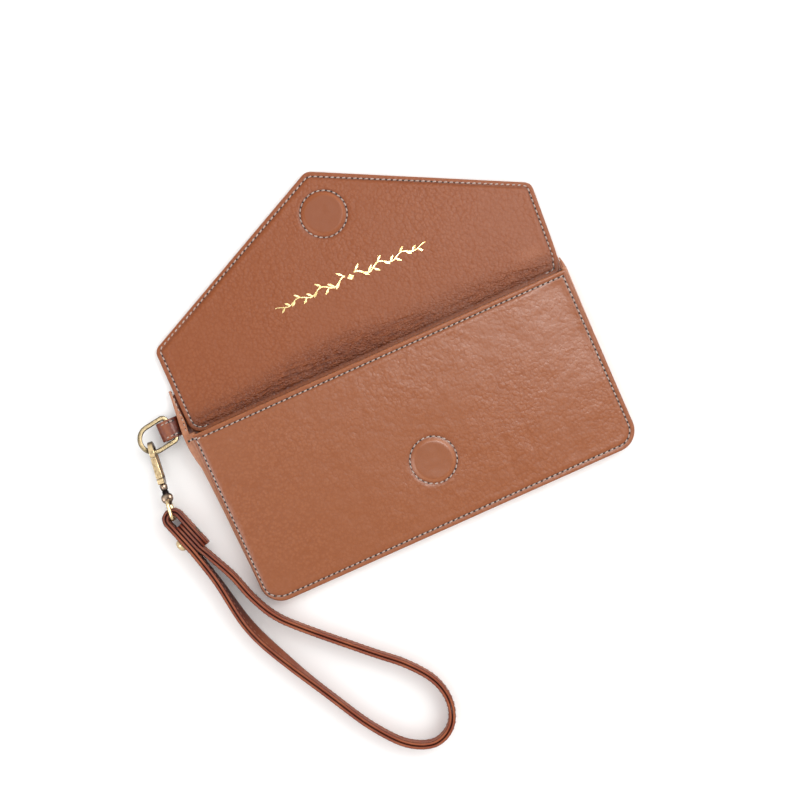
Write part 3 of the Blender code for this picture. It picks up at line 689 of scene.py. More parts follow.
def seam(name, line, closed, height, place, up=1.0, size=1.0, hole=0.64):
    spots, alongs = resample(line, PITCH * size, closed)
    heights = height(spots[:, 0], spots[:, 1])
    return stitch_row(name, spots, alongs, heights, place, up, size=size, hole=hole)


def ring_line(x, y, radius, count=72):
    angles = np.linspace(0, 2 * math.pi, count, endpoint=False)
    return np.stack([x + radius * np.cos(angles), y + radius * np.sin(angles)], 1)


def seam_inset(x):
    """The seam runs closer to the edge on the left side."""
    return SEAM_INSET - 1.1 * ease((-x - HALF_WIDTH + 7.0) / 5.0)


def seam_groove(d, inset=SEAM_INSET):
    """Leather pulled down by the thread, and puffed up on both sides of it."""
    return (-0.26 * bell((d - inset) / 0.75)
            + 0.10 * bell((d - inset - 2.2) / 1.3))


def seam_shade(d, inset=SEAM_INSET):
    return 0.42 * bell((d - inset) / 0.62)


def raised_disc(x, y, centre_x, centre_y):
    """Magnet under the leather: flat top and a rounded shoulder down to the stitched groove.

    The tone paints shade in the groove, darkens the flat top a little and paints a highlight on
    the shoulder, strongest on two opposite sides.
    """
    r = np.hypot(x - centre_x, y - centre_y)
    angle = np.arctan2(y - centre_y, x - centre_x)
    plateau = DISC_HEIGHT * (1 - ease((r - DISC_RADIUS + 0.4) / 1.4))
    groove = -0.34 * bell((r - RING_SEAM_RADIUS) / 0.75)
    lit = 0.25 + 0.75 * np.cos(angle - math.radians(28)) ** 2
    tone = (0.42 * bell((r - RING_SEAM_RADIUS) / 0.75)
            + 0.13 * (1 - ease((r - DISC_RADIUS + 1.0) / 0.8))
            - 0.42 * lit * bell((r - DISC_RADIUS - 0.3) / 0.55))
    stretch = 1 - ease((r - DISC_RADIUS) / 1.5)
    return plateau + groove, tone, stretch


# ---------------------------------------------------------------- front wall

def front_crown(x, s):
    """Soft fullness of the front, flat along the seams and round the magnet."""
    across = np.clip(1 - (np.abs(x) / HALF_WIDTH) ** 2.6, 0, 1)
    up = np.clip(np.sin(np.pi * np.clip(s / FRONT_LENGTH, 0, 1)), 0, 1) ** 0.6
    near = bell(np.hypot(x - MAGNET_X, s - FRONT_MAGNET_S) / 21.0)
    shoulder = ease((x - 76) / 25.0) * ease((s - 34) / 30.0)
    return 0.95 * across * up * (1 - 0.75 * near) - 0.75 * shoulder


def front_folds(x, s):
    """Faint upright creases in the lower middle and small dents all over."""
    creases = 0.0
    for centre, lean, depth, width in ((40, 0.10, 0.16, 2.4), (52, -0.06, 0.13, 2.0),
                                       (-38, 0.08, 0.10, 2.6), (72, 0.05, 0.09, 2.2)):
        line = x - centre - lean * (s - 30)
        reach = ease((52 - s) / 30) * ease((s - 4) / 12)
        creases = creases - depth * bell(line / width) * reach
    dents = 0.11 * layered_noise(x / 9.0, s / 8.0, 3) + 0.05 * noise(x / 3.4, s / 3.1, 11)
    return creases + dents


def front_height(x, s, d):
    boss, disc_shade_and_highlight, stretch = raised_disc(x, s, MAGNET_X, FRONT_MAGNET_S)
    fade = ease((d - 1.2) / 4.0)
    height = FRONT_TOP + boss + (front_crown(x, s) + front_folds(x, s)) * fade
    inset = seam_inset(x)
    paint = 0.5 * (1 - ease((d - 0.1) / 0.45)) * (1 - ease((s - FRONT_LENGTH + 4.0) / 3.0))
    # Tone: the disc's painted shade and highlight, painted shade along the seam, and edge paint on
    # the cut edge except along the mouth.
    return (height + seam_groove(d, inset),
            np.clip(disc_shade_and_highlight + seam_shade(d, inset) + paint, -1, 1), stretch)


def inland(x):
    """Distance from the edge for points well inside a sheet."""
    return np.full(len(x), INLAND)


def build_front():
    panel = sheet("front_leather", body_outline(FRONT_LENGTH, 0.0), 0.0, front_height, level(1.4),
                  0.72, FINE_SPACING, front_place, TAN)
    assign(panel, "front", "tan_leather", "front_panel", "front_board", "front_magnet")
    outline = body_outline(FRONT_LENGTH - 0.7, 0.7, 0.0)
    outline[:, 0] *= LINING_SHARE
    lining = sheet("front_lining_cloth", outline, 0.0, level(1.25),
                   lambda x, s, d: 0.22 + 0.05 * noise(x / 8, s / 8, 5), 0.4, 3.0, front_place,
                   LINING, reach=1.5)
    assign(lining, "front", "lining_fabric", "front_lining")


def build_front_seams():
    """Rim seam, the tack that ends it at the mouth's left corner, and the magnet's ring."""
    line = body_outline(FRONT_LENGTH, 0.0, SEAM_INSET, top_radius=0.3)
    spots, alongs = resample(line, PITCH, True)
    spots[:, 0] -= SEAM_INSET - seam_inset(spots[:, 0] - 1.1)
    heights = front_height(spots[:, 0], spots[:, 1], seam_inset(spots[:, 0]))[0]
    rim = stitch_row("front_rim_stitches", spots, alongs, heights, front_place)
    tack_y = FRONT_LENGTH - 1.9
    tack = np.array([(-HALF_WIDTH + 1.2, tack_y), (-HALF_WIDTH - 0.9, tack_y + 0.1)])
    across = unit(np.array([(-1.0, 0.12), (-1.0, -0.1)]))
    rise = front_height(tack[:1, 0], tack[:1, 1], np.array([1.2]))[0][0]
    bartack = stitch_row("corner_bartack", tack, across, np.array((rise + 0.05, rise - 0.35)),
                         front_place)
    circle = ring_line(MAGNET_X, FRONT_MAGNET_S, RING_SEAM_RADIUS)
    ring = seam("front_disc_stitches", circle, True,
                lambda x, s: front_height(x, s, inland(x))[0], front_place, size=0.98)
    for piece in (rim, bartack, ring):
        assign(piece, "front", "tan_leather")


# ---------------------------------------------------------------- back wall and fold

SPINE_SPLIT_Y = (SPINE_FOLD.y + FLAP_FOLD.y) / 2 + 1.2
FLAP_START_Y = SPINE_FOLD.y - 2.9
FLAP_OUTER_Y = SPINE_SPLIT_Y + 0.15


def outer_face(height, depth, seed):
    """Hidden face of an outer skin: faint dents, and drawn in along the seam."""
    def surface(x, y, d):
        dents = depth * layered_noise(x / 11.0, y / 9.0, seed)
        return height + np.abs(dents) + 0.18 * bell((d - SEAM_INSET) / 0.75)
    return surface


def build_back():
    """Back leather, which runs on past the first fold, with its lining."""
    radius = CORNER_RADIUS
    outline = rounded([(-HALF_WIDTH, BOTTOM_Y, radius), (HALF_WIDTH, BOTTOM_Y, radius),
                       (HALF_WIDTH, SPINE_SPLIT_Y, 0.4), (-HALF_WIDTH, SPINE_SPLIT_Y, 0.4)])
    panel = sheet("back_leather", outline, 0.0, level(1.45), outer_face(0.08, 0.05, 21), 0.6,
                  1.6, flat_place, TAN)
    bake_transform(panel)
    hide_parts("back_panel", "back_board", "spine_outer")

    top = FLAP_START_Y - 0.9
    lining = sheet("back_lining_cloth", body_outline(top, BOTTOM_Y + 1.0, 0.0), 0.0,
                   lambda x, y, d: 2.65 + 0.08 * noise(x / 9, y / 9, 8), level(1.55), 0.4, 3.0,
                   lambda p: p * np.array((LINING_SHARE, 1, 1)), LINING, reach=1.5)
    assign(lining, "pouch", "lining_fabric", "back_lining")


def build_slip_pocket():
    low, high = node_box("slip_pocket")
    outline = rounded([(low.x, low.y, 3), (high.x, low.y, 3), (high.x, high.y, 1.5),
                       (low.x, high.y, 1.5)])

    def pocket_top(x, y, d):
        return high.z + seam_groove(d) * 0.5 + 0.04 * noise(x / 6, y / 6, 31)

    pocket = sheet("slip_pocket_leather", outline, (low.x + high.x) / 2, pocket_top, level(2.85),
                   0.4, 2.0, flat_place, DARK)
    assign(pocket, "pouch", "dark_leather", "slip_pocket")
    line = [(low.x + 2, high.y - 2), (high.x - 2, high.y - 2)]
    hem = seam("pocket_stitches", line, False, level(high.z - 0.12), flat_place)
    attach(hem, "pouch")


def build_back_seam():
    """Seam down one side, round the bottom and up the other side."""
    top = SPINE_FOLD.y - 6
    turn = BOTTOM_Y + 20
    line = body_outline(SPINE_FOLD.y, BOTTOM_Y, SEAM_INSET)
    line = line[line[:, 1] < top]
    order = np.argsort(-line[:, 0] * (line[:, 1] > turn))
    ends = [(-HALF_WIDTH + SEAM_INSET, top)]
    ends += [tuple(p) for p in line[order] if p[1] < turn]
    ends += [(HALF_WIDTH - SEAM_INSET, top)]
    rim = seam("back_rim_stitches", ends, False, level(0.26), flat_place, up=-1.0)
    assign(rim, "pouch", "tan_leather")


# ---------------------------------------------------------------- flap

CREASES = 46


def crease_reach(x):
    """How far the creases spread from the fold: furthest left of the middle."""
    return (8.5 + 8.0 * bell((x + 22) / 40.0) + 4.0 * bell((x - 50) / 30.0)
            + 3.0 * bell((x - 96) / 14.0))


def flap_wrinkles(x, y):
    """Short, wandering creases that run along the fold, closer together towards it.

    Returns the height, a painted shade that is darker in the creases and lighter on their ridges,
    and how strongly each point lies in the crinkled zone by the fold.
    """
    height = np.zeros_like(x)
    away = y - SPINE_FOLD.y
    for k in range(CREASES):
        pick = [float(cell_value(np.int64(k), np.int64(j), 77)) for j in range(7)]
        centre = -102 + 204 * (k + pick[0]) / CREASES
        start = 0.2 + pick[1] * crease_reach(centre)
        length = 5 + 12 * pick[2]
        depth = (0.16 + 0.24 * pick[4]) * (1 - 0.4 * pick[1])
        width = 0.40 + 0.35 * pick[5]
        along = (x - centre) / length
        line = (start - (0.16 * pick[3] - 0.02) * (x - centre) + 1.8 * (pick[6] - 0.5) * along ** 2
                + 0.9 * noise(x / 4.5, np.full_like(x, k + 0.5), 78))
        off = (away - line) / width
        envelope = np.clip(1 - along ** 2, 0, 1)
        height += depth * envelope * (0.5 * bell((off - 1.7) / 1.1) - bell(off))
    reach = crease_reach(x)
    zone = 1 - ease((away - 0.15 * reach) / (1.15 * reach))
    strength = 0.5 + 0.5 * bell((x + 30) / 55.0)
    warp = 0.8 * noise(x / 5.0, away / 3.0, 48)
    crumple = noise(x / 2.9 + warp, away / 1.25 + warp, 47) + 0.6 * noise(x / 1.5, away / 0.8, 49)
    height = (height + 0.12 * crumple) * zone * strength
    shade = -1.1 * height - 0.10 * crumple * zone * strength
    return np.clip(height, -0.8, 0.4) - 0.3 * zone, shade, zone * strength


def flap_crown(x, y):
    across = np.clip(1 - np.abs(x / (HALF_WIDTH + 4)) ** 2.8, 0, 1)
    up = ease((y - 62) / 30) * ease((FLAP_HIGH.y - y) / 34)
    near = bell(np.hypot(x - MAGNET_X, y - FLAP_MAGNET_Y) / 20.0)
    return 0.40 * across * up * (1 - near)


def flap_height(x, y, d):
    boss, disc_shade_and_highlight, stretch = raised_disc(x, y, MAGNET_X, FLAP_MAGNET_Y)
    wrinkle, depth, zone = flap_wrinkles(x, y)
    fade = ease((d - 0.9) / 3.5)
    dents = 0.08 * layered_noise(x / 10.0, y / 8.0, 51) + 0.035 * noise(x / 3.2, y / 3.0, 52)
    height = FLAP_TOP + boss - 0.1 + (wrinkle + dents + flap_crown(x, y)) * fade
    height = height + seam_groove(d)
    # Tone: the disc's painted shade and highlight, painted shade along the seam, in the creases and
    # over the whole crinkled zone by the fold, and a painted highlight where the leather puckers
    # near the fold's right end.
    pucker_highlight = 0.22 * bell(np.hypot((x - 92) / 9.0, (y - 62) / 4.0))
    tone = disc_shade_and_highlight + seam_shade(d) * (0.5 + 0.5 * fade)
    tone = tone + (depth + 0.34 * zone) * fade - pucker_highlight
    return height, np.clip(tone, -1, 1), stretch - zone * fade


def bend_flap(piece):
    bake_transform(piece)


def build_flap():
    """Inner and outer skins of the flap, glued over its board."""
    middle_z = 1.95
    inner = sheet("flap_inner_leather", flap_outline(FLAP_START_Y, 0.25), APEX_X, flap_height,
                  level(middle_z + 0.04), 0.66, FINE_SPACING, flat_place, FLAP_TAN,
                  fine=(SPINE_FOLD.y + 20.0, 0.34))
    bend_flap(inner)
    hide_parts("spine_lining", "flap_lining", "flap_magnet")

    def painted_top(x, y, d):
        return middle_z - 0.04 + 0 * x, 0.85 * (1 - ease((d - 0.6) / 0.8)), 0 * x

    outer = sheet("flap_outer_leather", flap_outline(FLAP_OUTER_Y), APEX_X, painted_top,
                  outer_face(0.36, 0.06, 61), 0.5, 1.5, flat_place, TAN)
    bend_flap(outer)
    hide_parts("flap_outer", "flap_board")


def build_flap_seams():
    spots, alongs = resample(flap_outline(FLAP_START_Y, SEAM_INSET), PITCH, True)
    in_fold = spots[:, 1] < FLAP_START_Y + SEAM_INSET + 0.4
    kept = ~(in_fold & (np.abs(spots[:, 0]) < HALF_WIDTH - 9))
    spots, alongs = spots[kept], alongs[kept]
    heights = flap_height(spots[:, 0], spots[:, 1], np.full(len(spots), SEAM_INSET))[0]
    bend_flap(stitch_row("flap_rim_stitches", spots, alongs, heights, flat_place))
    bend_flap(seam("flap_outer_stitches", flap_outline(FLAP_OUTER_Y, SEAM_INSET), True, level(0.55),
                   flat_place, up=-1.0))
    circle = ring_line(MAGNET_X, FLAP_MAGNET_Y, RING_SEAM_RADIUS)
    bend_flap(seam("flap_disc_stitches", circle, True,
                   lambda x, y: flap_height(x, y, inland(x))[0], flat_place, size=0.98))


FOIL_Y = 89.4
FOIL_X = 2.7
FOIL_HALF_LENGTH = 42.0
FOIL_LIFT = 0.05
FOIL_WAVE = 1.7


def foil_wave(share):
    """Height of the stem at a share of its half length."""
    return FOIL_Y + FOIL_WAVE * np.sin(share * 6.5 * math.pi) * (1 - 0.5 * share)


def ribbon(path, widths):
    """Outline pieces of a tapering line, one quad per step."""
    path, widths = np.array(path, float), np.array(widths, float)
    ahead = unit(np.gradient(path, axis=0))
    side = np.stack([-ahead[:, 1], ahead[:, 0]], 1) * widths[:, None] / 2
    left, right = path + side, path - side
    return [[right[i], right[i + 1], left[i + 1], left[i]] for i in range(len(path) - 1)]


def build_foil():
    """Plain leafy flourish pressed into the flap in gold foil."""
    shapes = []
    share = np.linspace(0.06, 1, 60)
    leaf = np.linspace(0, 1, 7)
    for sign in (-1, 1):
        stem = np.column_stack([FOIL_X + sign * share * FOIL_HALF_LENGTH, foil_wave(share)])
        shapes += ribbon(stem, 0.8 - 0.45 * share)
        for k in range(1, 13):
            at = k / 13.5
            length = 4.3 * (1 - 0.4 * at)
            upward = length if k % 2 else -length
            root_x = FOIL_X + sign * at * FOIL_HALF_LENGTH
            run = np.column_stack([root_x + sign * length * leaf * 0.8,
                                   foil_wave(at) + upward * (0.75 * leaf ** 0.8)])
            shapes += ribbon(run, [0.15, 0.55, 0.95, 1.1, 0.9, 0.5, 0.1])
    shapes.append([(FOIL_X + 1.9, FOIL_Y), (FOIL_X, FOIL_Y + 1.5), (FOIL_X - 1.9, FOIL_Y),
                   (FOIL_X, FOIL_Y - 1.5)])
    outlines = np.array(shapes, float).reshape(-1, 2)
    z = flap_height(outlines[:, 0], outlines[:, 1], inland(outlines))[0]
    vertices, faces = [], []
    for start in range(0, len(outlines), 4):
        flat, rise = outlines[start:start + 4], z[start:start + 4]
        top, under = len(vertices), len(vertices) + 4
        vertices += np.column_stack([flat, rise + FOIL_LIFT]).tolist()
        vertices += np.column_stack([flat, rise - 0.1]).tolist()
        faces += [tuple(range(top, under)), tuple(range(under + 3, under - 1, -1))]
        faces += [(top + k, under + k, under + (k + 1) % 4, top + (k + 1) % 4) for k in range(4)]
    piece = make_object("foil_flourish", vertices, faces, {"tone": [0.0] * len(vertices)}, [FOIL],
                        smooth=False)
    assign(piece, "flap", "antique_brass")


# ---------------------------------------------------------------- gusset

def gusset_path():
    """Line of the pouch's edge from the left mouth corner round to the right one."""
    inset = 0.9
    half, radius = HALF_WIDTH - inset, CORNER_RADIUS - inset
    low = BOTTOM_Y + inset
    top = -BOTTOM_Y + 1.2
    line = [(-half, y) for y in np.linspace(top, low + radius, 40)]
    line += arc((-half + radius, low + radius), radius, 180, 270, 10)[1:-1]
    line += [(x, low) for x in np.linspace(-half + radius, half - radius, 60)]
    line += arc((half - radius, low + radius), radius, -90, 0, 10)[1:-1]
    line += [(half, y) for y in np.linspace(low + radius, top, 40)]
    return np.array(line)


def gusset_bulge(x, y):
    """How far the side walls bow out: most at the mouth, more on the left."""
    share = np.clip((y - BOTTOM_Y - CORNER_RADIUS) / (-2 * BOTTOM_Y - CORNER_RADIUS), 0, 1)
    most = np.where(x < 0, 4.7, 2.2)
    least = np.where(x < 0, 1.4, 1.2)
    side = ease((np.abs(x) - (HALF_WIDTH - CORNER_RADIUS)) / CORNER_RADIUS)
    return 0.7 + side * (least - 0.7 + (most - least) * share ** 1.5)


def build_gusset():
    """Side and bottom wall between the two panels, as a thin bowed skin."""
    line = gusset_path()
    ends = np.vstack([2 * line[0] - line[1], line, 2 * line[-1] - line[-2]])
    along = unit(ends[2:] - ends[:-2])
    outward = np.stack([along[:, 1], -along[:, 0]], 1)
    bulge = gusset_bulge(line[:, 0], line[:, 1])
    across, thick = 18, 1.0
    vertices, tone = [], []
    for i, (x, y) in enumerate(line):
        s = (y - MOUTH_HINGE.y) * math.cos(SLOPE)
        low = 1.1
        high = MOUTH_HINGE.z + s * math.tan(SLOPE) / math.cos(SLOPE) + 1.75
        wave = 0.25 * float(noise(np.array(i / 6.0), np.array(0.3), 71))
        turns = [(k, thick) for k in range(across + 1)] + [(k, 0.0) for k in range(across, -1, -1)]
        for k, depth in turns:
            t = 0.5 - 0.5 * math.cos(math.pi * k / across)
            round_out = math.sin(math.pi * t) ** 0.5
            out = (bulge[i] + wave * math.sin(2 * math.pi * t)) * round_out - depth
            vertices.append((x + outward[i, 0] * out, y + outward[i, 1] * out,
                             low + (high - low) * t))
            # Painted shade: darker towards the wall's lower edge.
            tone.append(0.3 * max(0.0, 0.4 - t))
    faces = [(face[0], *face[:0:-1]) for face in tube_faces(len(line), 2 * (across + 1))]
    piece = make_object("side_gusset", vertices, faces,
                        {"edge": [INLAND] * len(vertices), "tone": tone}, [GUSSET_TAN])
    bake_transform(piece)
    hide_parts("left_gusset", "right_gusset")


# ---------------------------------------------------------------- ears and tab

def curve_through(points, steps):
    """Catmull-Rom curve in any number of dimensions."""
    points = [np.array(p, float) for p in points]
    line = [2 * points[0] - points[1]] + points + [2 * points[-1] - points[-2]]
    run = []
    for i in range(1, len(line) - 2):
        a, b, c, d = line[i - 1:i + 3]
        for k in range(steps):
            t = k / steps
            run.append(0.5 * (2 * b + (c - a) * t + (2 * a - 5 * b + 4 * c - d) * t ** 2
                              + (3 * b - a - 3 * c + d) * t ** 3))
    run.append(points[-1])
    return np.array(run)


def strip(name, path, widths, thick, corners, material):
    """Narrow strip lying along a path, with its width and corner radius at each point."""
    ahead = unit(np.gradient(path, axis=0))
    right = unit(np.cross(ahead, (0.0, 0.0, 1.0)))
    sections = np.stack([rounded_bar(w, thick, radius) for w, radius in zip(widths, corners)])
    return sweep(name, path, right, np.cross(right, ahead), sections, material)


def build_ears():
    """Strips of gusset leather that run on past both mouth corners."""
    low, high = node_box("left_ear")
    middle = (low.x + high.x) / 2
    path = curve_through([(middle + 1.7, low.y - 24, 7.6), (middle + 0.7, low.y - 15, 9.2),
                          (middle, low.y - 6, 10.0), (middle - 0.2, low.y + 0.6, 9.2),
                          (middle - 0.1, low.y + 5.5, 6.3), (middle, low.y + 10.5, 3.9),
                          (middle + 0.1, low.y + 17, 2.95), (high.x - 1.0, high.y, 2.8)], 8)
    share = np.linspace(0, 1, len(path))
    width = 1.2 + 2.2 * ease(share / 0.3) - 2.1 * ease((share - 0.6) / 0.4)
    piece = strip("ear_strip", path, width, 1.15, np.minimum(0.5, width * 0.3), GUSSET_TAN)
    assign(piece, "pouch", "tan_leather", "left_ear")
    row = path[(path[:, 1] > low.y + 3) & (path[:, 1] < high.y - 2)]
    spots, alongs = resample(row[:, :2] + np.array((0.85, 0)), PITCH, False)
    heights = np.interp(spots[:, 1], path[:, 1], path[:, 2]) + 0.48
    stitches = stitch_row("ear_stitches", spots, alongs, heights, flat_place, size=0.8, hole=0.34)
    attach(stitches, "pouch")

    low, high = node_box("right_ear")
    middle = (low.x + high.x) / 2
    path = curve_through([(middle - 1.9, low.y - 9, 9.0), (middle - 1.3, low.y - 2, 9.2),
                          (middle - 0.9, low.y + 2.0, 6.4), (middle - 0.8, low.y + 4.4, 3.9),
                          (middle - 1.0, high.y - 5.0, 2.9)], 8)
    width = 2.1 - 1.4 * ease(np.linspace(0, 1, len(path)))
    piece = strip("right_ear_strip", path, width, 1.1, width * 0.3, GUSSET_TAN)
    assign(piece, "pouch", "tan_leather", "right_ear")


def build_ear_lips():
    """Margin of the back leather that shows under each ear strip.

    It uses the darker tab leather: painted shade for the gap under the strip.
    """
    for name, points, wide in (
            ("left_ear_lip", ((-104.9, 46.5), (-105.1, 58.0), (-105.2, 71.5)), 3.4),
            ("right_ear_lip", ((103.7, 47.5), (103.8, 50.0), (103.4, 53.0)), 3.8)):
        path = curve_through([(x, y, 0.14) for x, y in points], 6)
        even = np.ones(len(path))
        assign(strip(name, path, wide * even, 0.2, 0.08 * even, DARK), "pouch", "tan_leather")


def build_tab():
    """One strip of leather, folded round the D-ring's bar and sewn to itself."""
    low, high = node_box("side_tab")
    bar = joint_point("ring_swing")
    thick = 1.2
    radius = 2.75 - thick / 2
    centre_x = low.x + 2.75
    path = [(high.x - 0.4, 1.0), (-108.5, 1.0), (-111.0, 1.15), (centre_x + 1.6, bar.z - radius)]
    path += arc((centre_x, bar.z), radius, 270, 90, 12)
    path += [(-113.6, bar.z + radius), (-111.6, bar.z + radius - 0.25), (-110.0, 4.3),
             (-109.2, 2.9), (-108.4, 2.1), (high.x - 1.6, 1.9)]
    smooth_path = curve_through(path, 3)
    middle_y = np.full(len(smooth_path), (low.y + high.y) / 2)
    path3 = np.stack([smooth_path[:, 0], middle_y, smooth_path[:, 1]], 1)
    ahead = unit(np.gradient(path3, axis=0))
    side = np.tile(np.array((0.0, 1.0, 0.0)), (len(path3), 1))
    up = np.cross(side, ahead)
    section = rounded_bar(high.y - low.y, thick, 0.42)[::-1]
    # Painted light on the tab: shade that deepens towards the pouch, and a painted highlight on top
    # of the fold round the bar.
    shade = (ease((path3[:, 0] + 113.2) / 4.0) * 0.6
             - 0.30 * bell((path3[:, 0] + 115.2) / 1.5) * (path3[:, 2] > bar.z))
    piece = sweep("ring_tab", path3, side, up, section, DARK, tones=shade[:, None])
    assign(piece, "pouch", "dark_leather", "side_tab")
    for name, y in (("tab_stitches_low", low.y + 1.5), ("tab_stitches_high", high.y - 1.5)):
        row = seam(name, [(centre_x + 0.6, y), (-111.4, y)], False, level(high.z - 0.08),
                   flat_place, size=0.85)
        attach(row, "pouch")


# ---------------------------------------------------------------- metal

def placed(origin, x_axis, y_axis, z_axis):
    """Turns points of a local frame into the row's frame."""
    basis = np.array([list(x_axis), list(y_axis), list(z_axis)])
    return lambda points: np.array(list(origin)) + np.asarray(points, float) @ basis


def loft_rings(name, rings, place, material, closed=False, tones=0.0):
    """Metal piece with even shading from rings of points."""
    rings = np.asarray(rings, float)
    count, size = rings.shape[:2]
    tone = np.zeros((count, size)) + tones
    obj = make_object(name, place(rings.reshape(-1, 3)), tube_faces(count, size, closed),
                      {"tone": tone.ravel()}, [material])
    obj.modifiers.new("even_shading", "WEIGHTED_NORMAL")
    return obj


def turned(name, profile, place, material, count=32, axis_y=0.0):
    """Solid of revolution about local X from (x, radius, tone) rows."""
    angles = np.linspace(0, 2 * math.pi, count, endpoint=False)
    rings = [[(x, axis_y + r * math.cos(a), r * math.sin(a)) for a in angles]
             for x, r, _ in profile]
    tones = np.array([[tone] * count for _, _, tone in profile])
    return loft_rings(name, rings, place, material, tones=tones)


def bevelled_prism(name, outline, half_at, bevel, place, material):
    """Slab over an anticlockwise outline with rounded rims; half_at(x) is its half thickness."""
    outline = np.array(outline, float)
    before = unit(outline - np.roll(outline, 1, axis=0))
    after = unit(np.roll(outline, -1, axis=0) - outline)
    along = unit(before + after)
    inward = np.stack([-along[:, 1], along[:, 0]], 1)
    stretch = 1 / np.clip((along * before).sum(1), 0.7, 1)
    rings, tones = [], []
    for side, angles in ((-1, (90, 60, 30, 0)), (1, (0, 30, 60, 90))):
        for angle in np.radians(angles):
            shift = bevel * (1 - math.cos(angle)) * stretch
            flat = outline + inward * shift[:, None]
            z = side * (half_at(flat[:, 0]) - bevel + bevel * math.sin(angle))
            rings.append(np.column_stack([flat, z]))
            # Painted shade: the face on one side much darker than the other, and everything lower
            # than the top edge dark, which also stands for patina inside the hook.
            shade = 0.7 * ease(angle) if side < 0 else 0.15 * ease(angle)
            below = 0.92 * ease((outline[:, 1].max() - 1.1 - outline[:, 1]) / 2.0)
            tones.append(np.maximum(below, float(shade)))
    return loft_rings(name, rings, place, material, tones=np.array(tones))


RING_HALF = 6.85
RING_STRAIGHT = 10.5
RING_CORNER = 2.0
RING_WIDE = 2.4


def build_ring():
    """D-ring of slightly flattened wire."""
    bar, along = joint_point("ring_swing"), joint_axis("ring_swing")
    points = np.array([v.co for v in frame["nodes"]["d_ring"].data.vertices]) / MM
    reach = Vector(points.mean(0)) - bar
    reach = (reach - along * reach.dot(along)).normalized()
    place = placed(bar, reach, along, reach.cross(along))
    path = arc((RING_CORNER, -RING_HALF + RING_CORNER), RING_CORNER, 180, 270, 8)
    path += [(x, -RING_HALF) for x in (4.0, 6.0, 8.0)]
    path += arc((RING_STRAIGHT, 0), RING_HALF, -90, 90, 32)
    path += [(x, RING_HALF) for x in (8.0, 6.0, 4.0)]
    path += arc((RING_CORNER, RING_HALF - RING_CORNER), RING_CORNER, 90, 180, 8)
    path += [(0.0, 2.4), (0.0, 0.0), (0.0, -2.4)]
    path = np.array(path)
    ahead = ahead_on_loop(path)
    out = np.stack([ahead[:, 1], -ahead[:, 0]], 1)
    section = rounded_bar(RING_WIDE, 1.95, 0.55, 3)
    rings = [[(px + ox * a, py + oy * a, b) for a, b in section]
             for (px, py), (ox, oy) in zip(path, out)]
    # Painted shade and patina on the wire's edges, the inner edge darker than the outer.
    flank = 0.75 * ease((-section[:, 0] - 0.55) / 0.4) + 0.45 * ease((section[:, 0] - 0.8) / 0.2)
    piece = loft_rings("d_ring_wire", rings, place, BRASS, closed=True,
                       tones=np.tile(flank, (len(path), 1)))
    assign(piece, "ring", "antique_brass", "d_ring")


HOOK_AXIS = 1.6
HOOK_CENTRE = (0.2, HOOK_AXIS)
HOOK_OUTER = 5.8
HOOK_INNER = 3.4
NOSE_X = 2.6
BODY_X = 14.0


def build_hook():
    """Snap hook: a slim tapered body with a flush gate, and the collar over the swivel."""
    origin = joint_point("clasp_swing")
    along, across = joint_axis("swivel_spin"), joint_axis("clasp_swing")
    if along.y > 0:
        along = -along
    place = placed(origin, along, Vector((0, 0, 1)), across)

    def half_at(x):
        return 1.3 + 0.42 * np.clip((x + 5.6) / 22.0, 0, 1)

    axis = HOOK_AXIS
    outline = [(16.9, axis - 2.6), (14.2, axis - 4.7), (9.0, axis - HOOK_OUTER + 0.15)]
    outline += arc(HOOK_CENTRE, HOOK_OUTER, 270, 90, 28)
    outline += [(NOSE_X, axis + HOOK_OUTER), (NOSE_X, axis + HOOK_INNER)]
    outline += arc(HOOK_CENTRE, HOOK_INNER, 90, 270, 24)
    outline += [(12.4, axis - HOOK_INNER), (13.4, axis - 3.0), (BODY_X, axis - 2.2),
                (BODY_X, axis + HOOK_OUTER - 0.1), (14.6, axis + HOOK_OUTER - 0.02),
                (16.3, axis + HOOK_OUTER - 0.1), (16.9, axis + HOOK_OUTER - 0.7)]
    body = bevelled_prism("hook_body", outline[::-1], half_at, 0.34, place, PALE_BRASS)
    assign(body, "clasp", "antique_brass", "clasp_hook")
    collar = [(15.6, 1.3, 1.0), (16.95, 1.5, 1.0), (17.2, 1.55, 1.0), (17.25, 1.8, 0.4),
              (17.5, 1.95, 0.2), (18.5, 1.95, 0.3), (19.4, 1.85, 0.6), (20.1, 1.6, 0.95),
              (20.5, 1.4, 1.0), (20.5, 0.9, 1.0)]
    ring = turned("hook_collar", collar, place, DARK_BRASS, axis_y=axis)
    assign(ring, "clasp", "antique_brass")

    top = axis + HOOK_OUTER
    gate = [(NOSE_X + 0.2, top - 2.3), (12.6, top - 2.2), (13.2, top - 3.2),
            (BODY_X - 0.6, top - 3.0), (BODY_X - 0.3, top - 2.2), (BODY_X - 0.14, top - 1.5),
            (BODY_X - 0.1, top - 0.08), (13.0, top - 0.01), (NOSE_X + 0.2, top - 0.01)]
    piece = bevelled_prism("hook_gate", gate, half_at, 0.3, place, PALE_BRASS)
    assign(piece, "gate", "antique_brass", "clasp_gate")
    return place


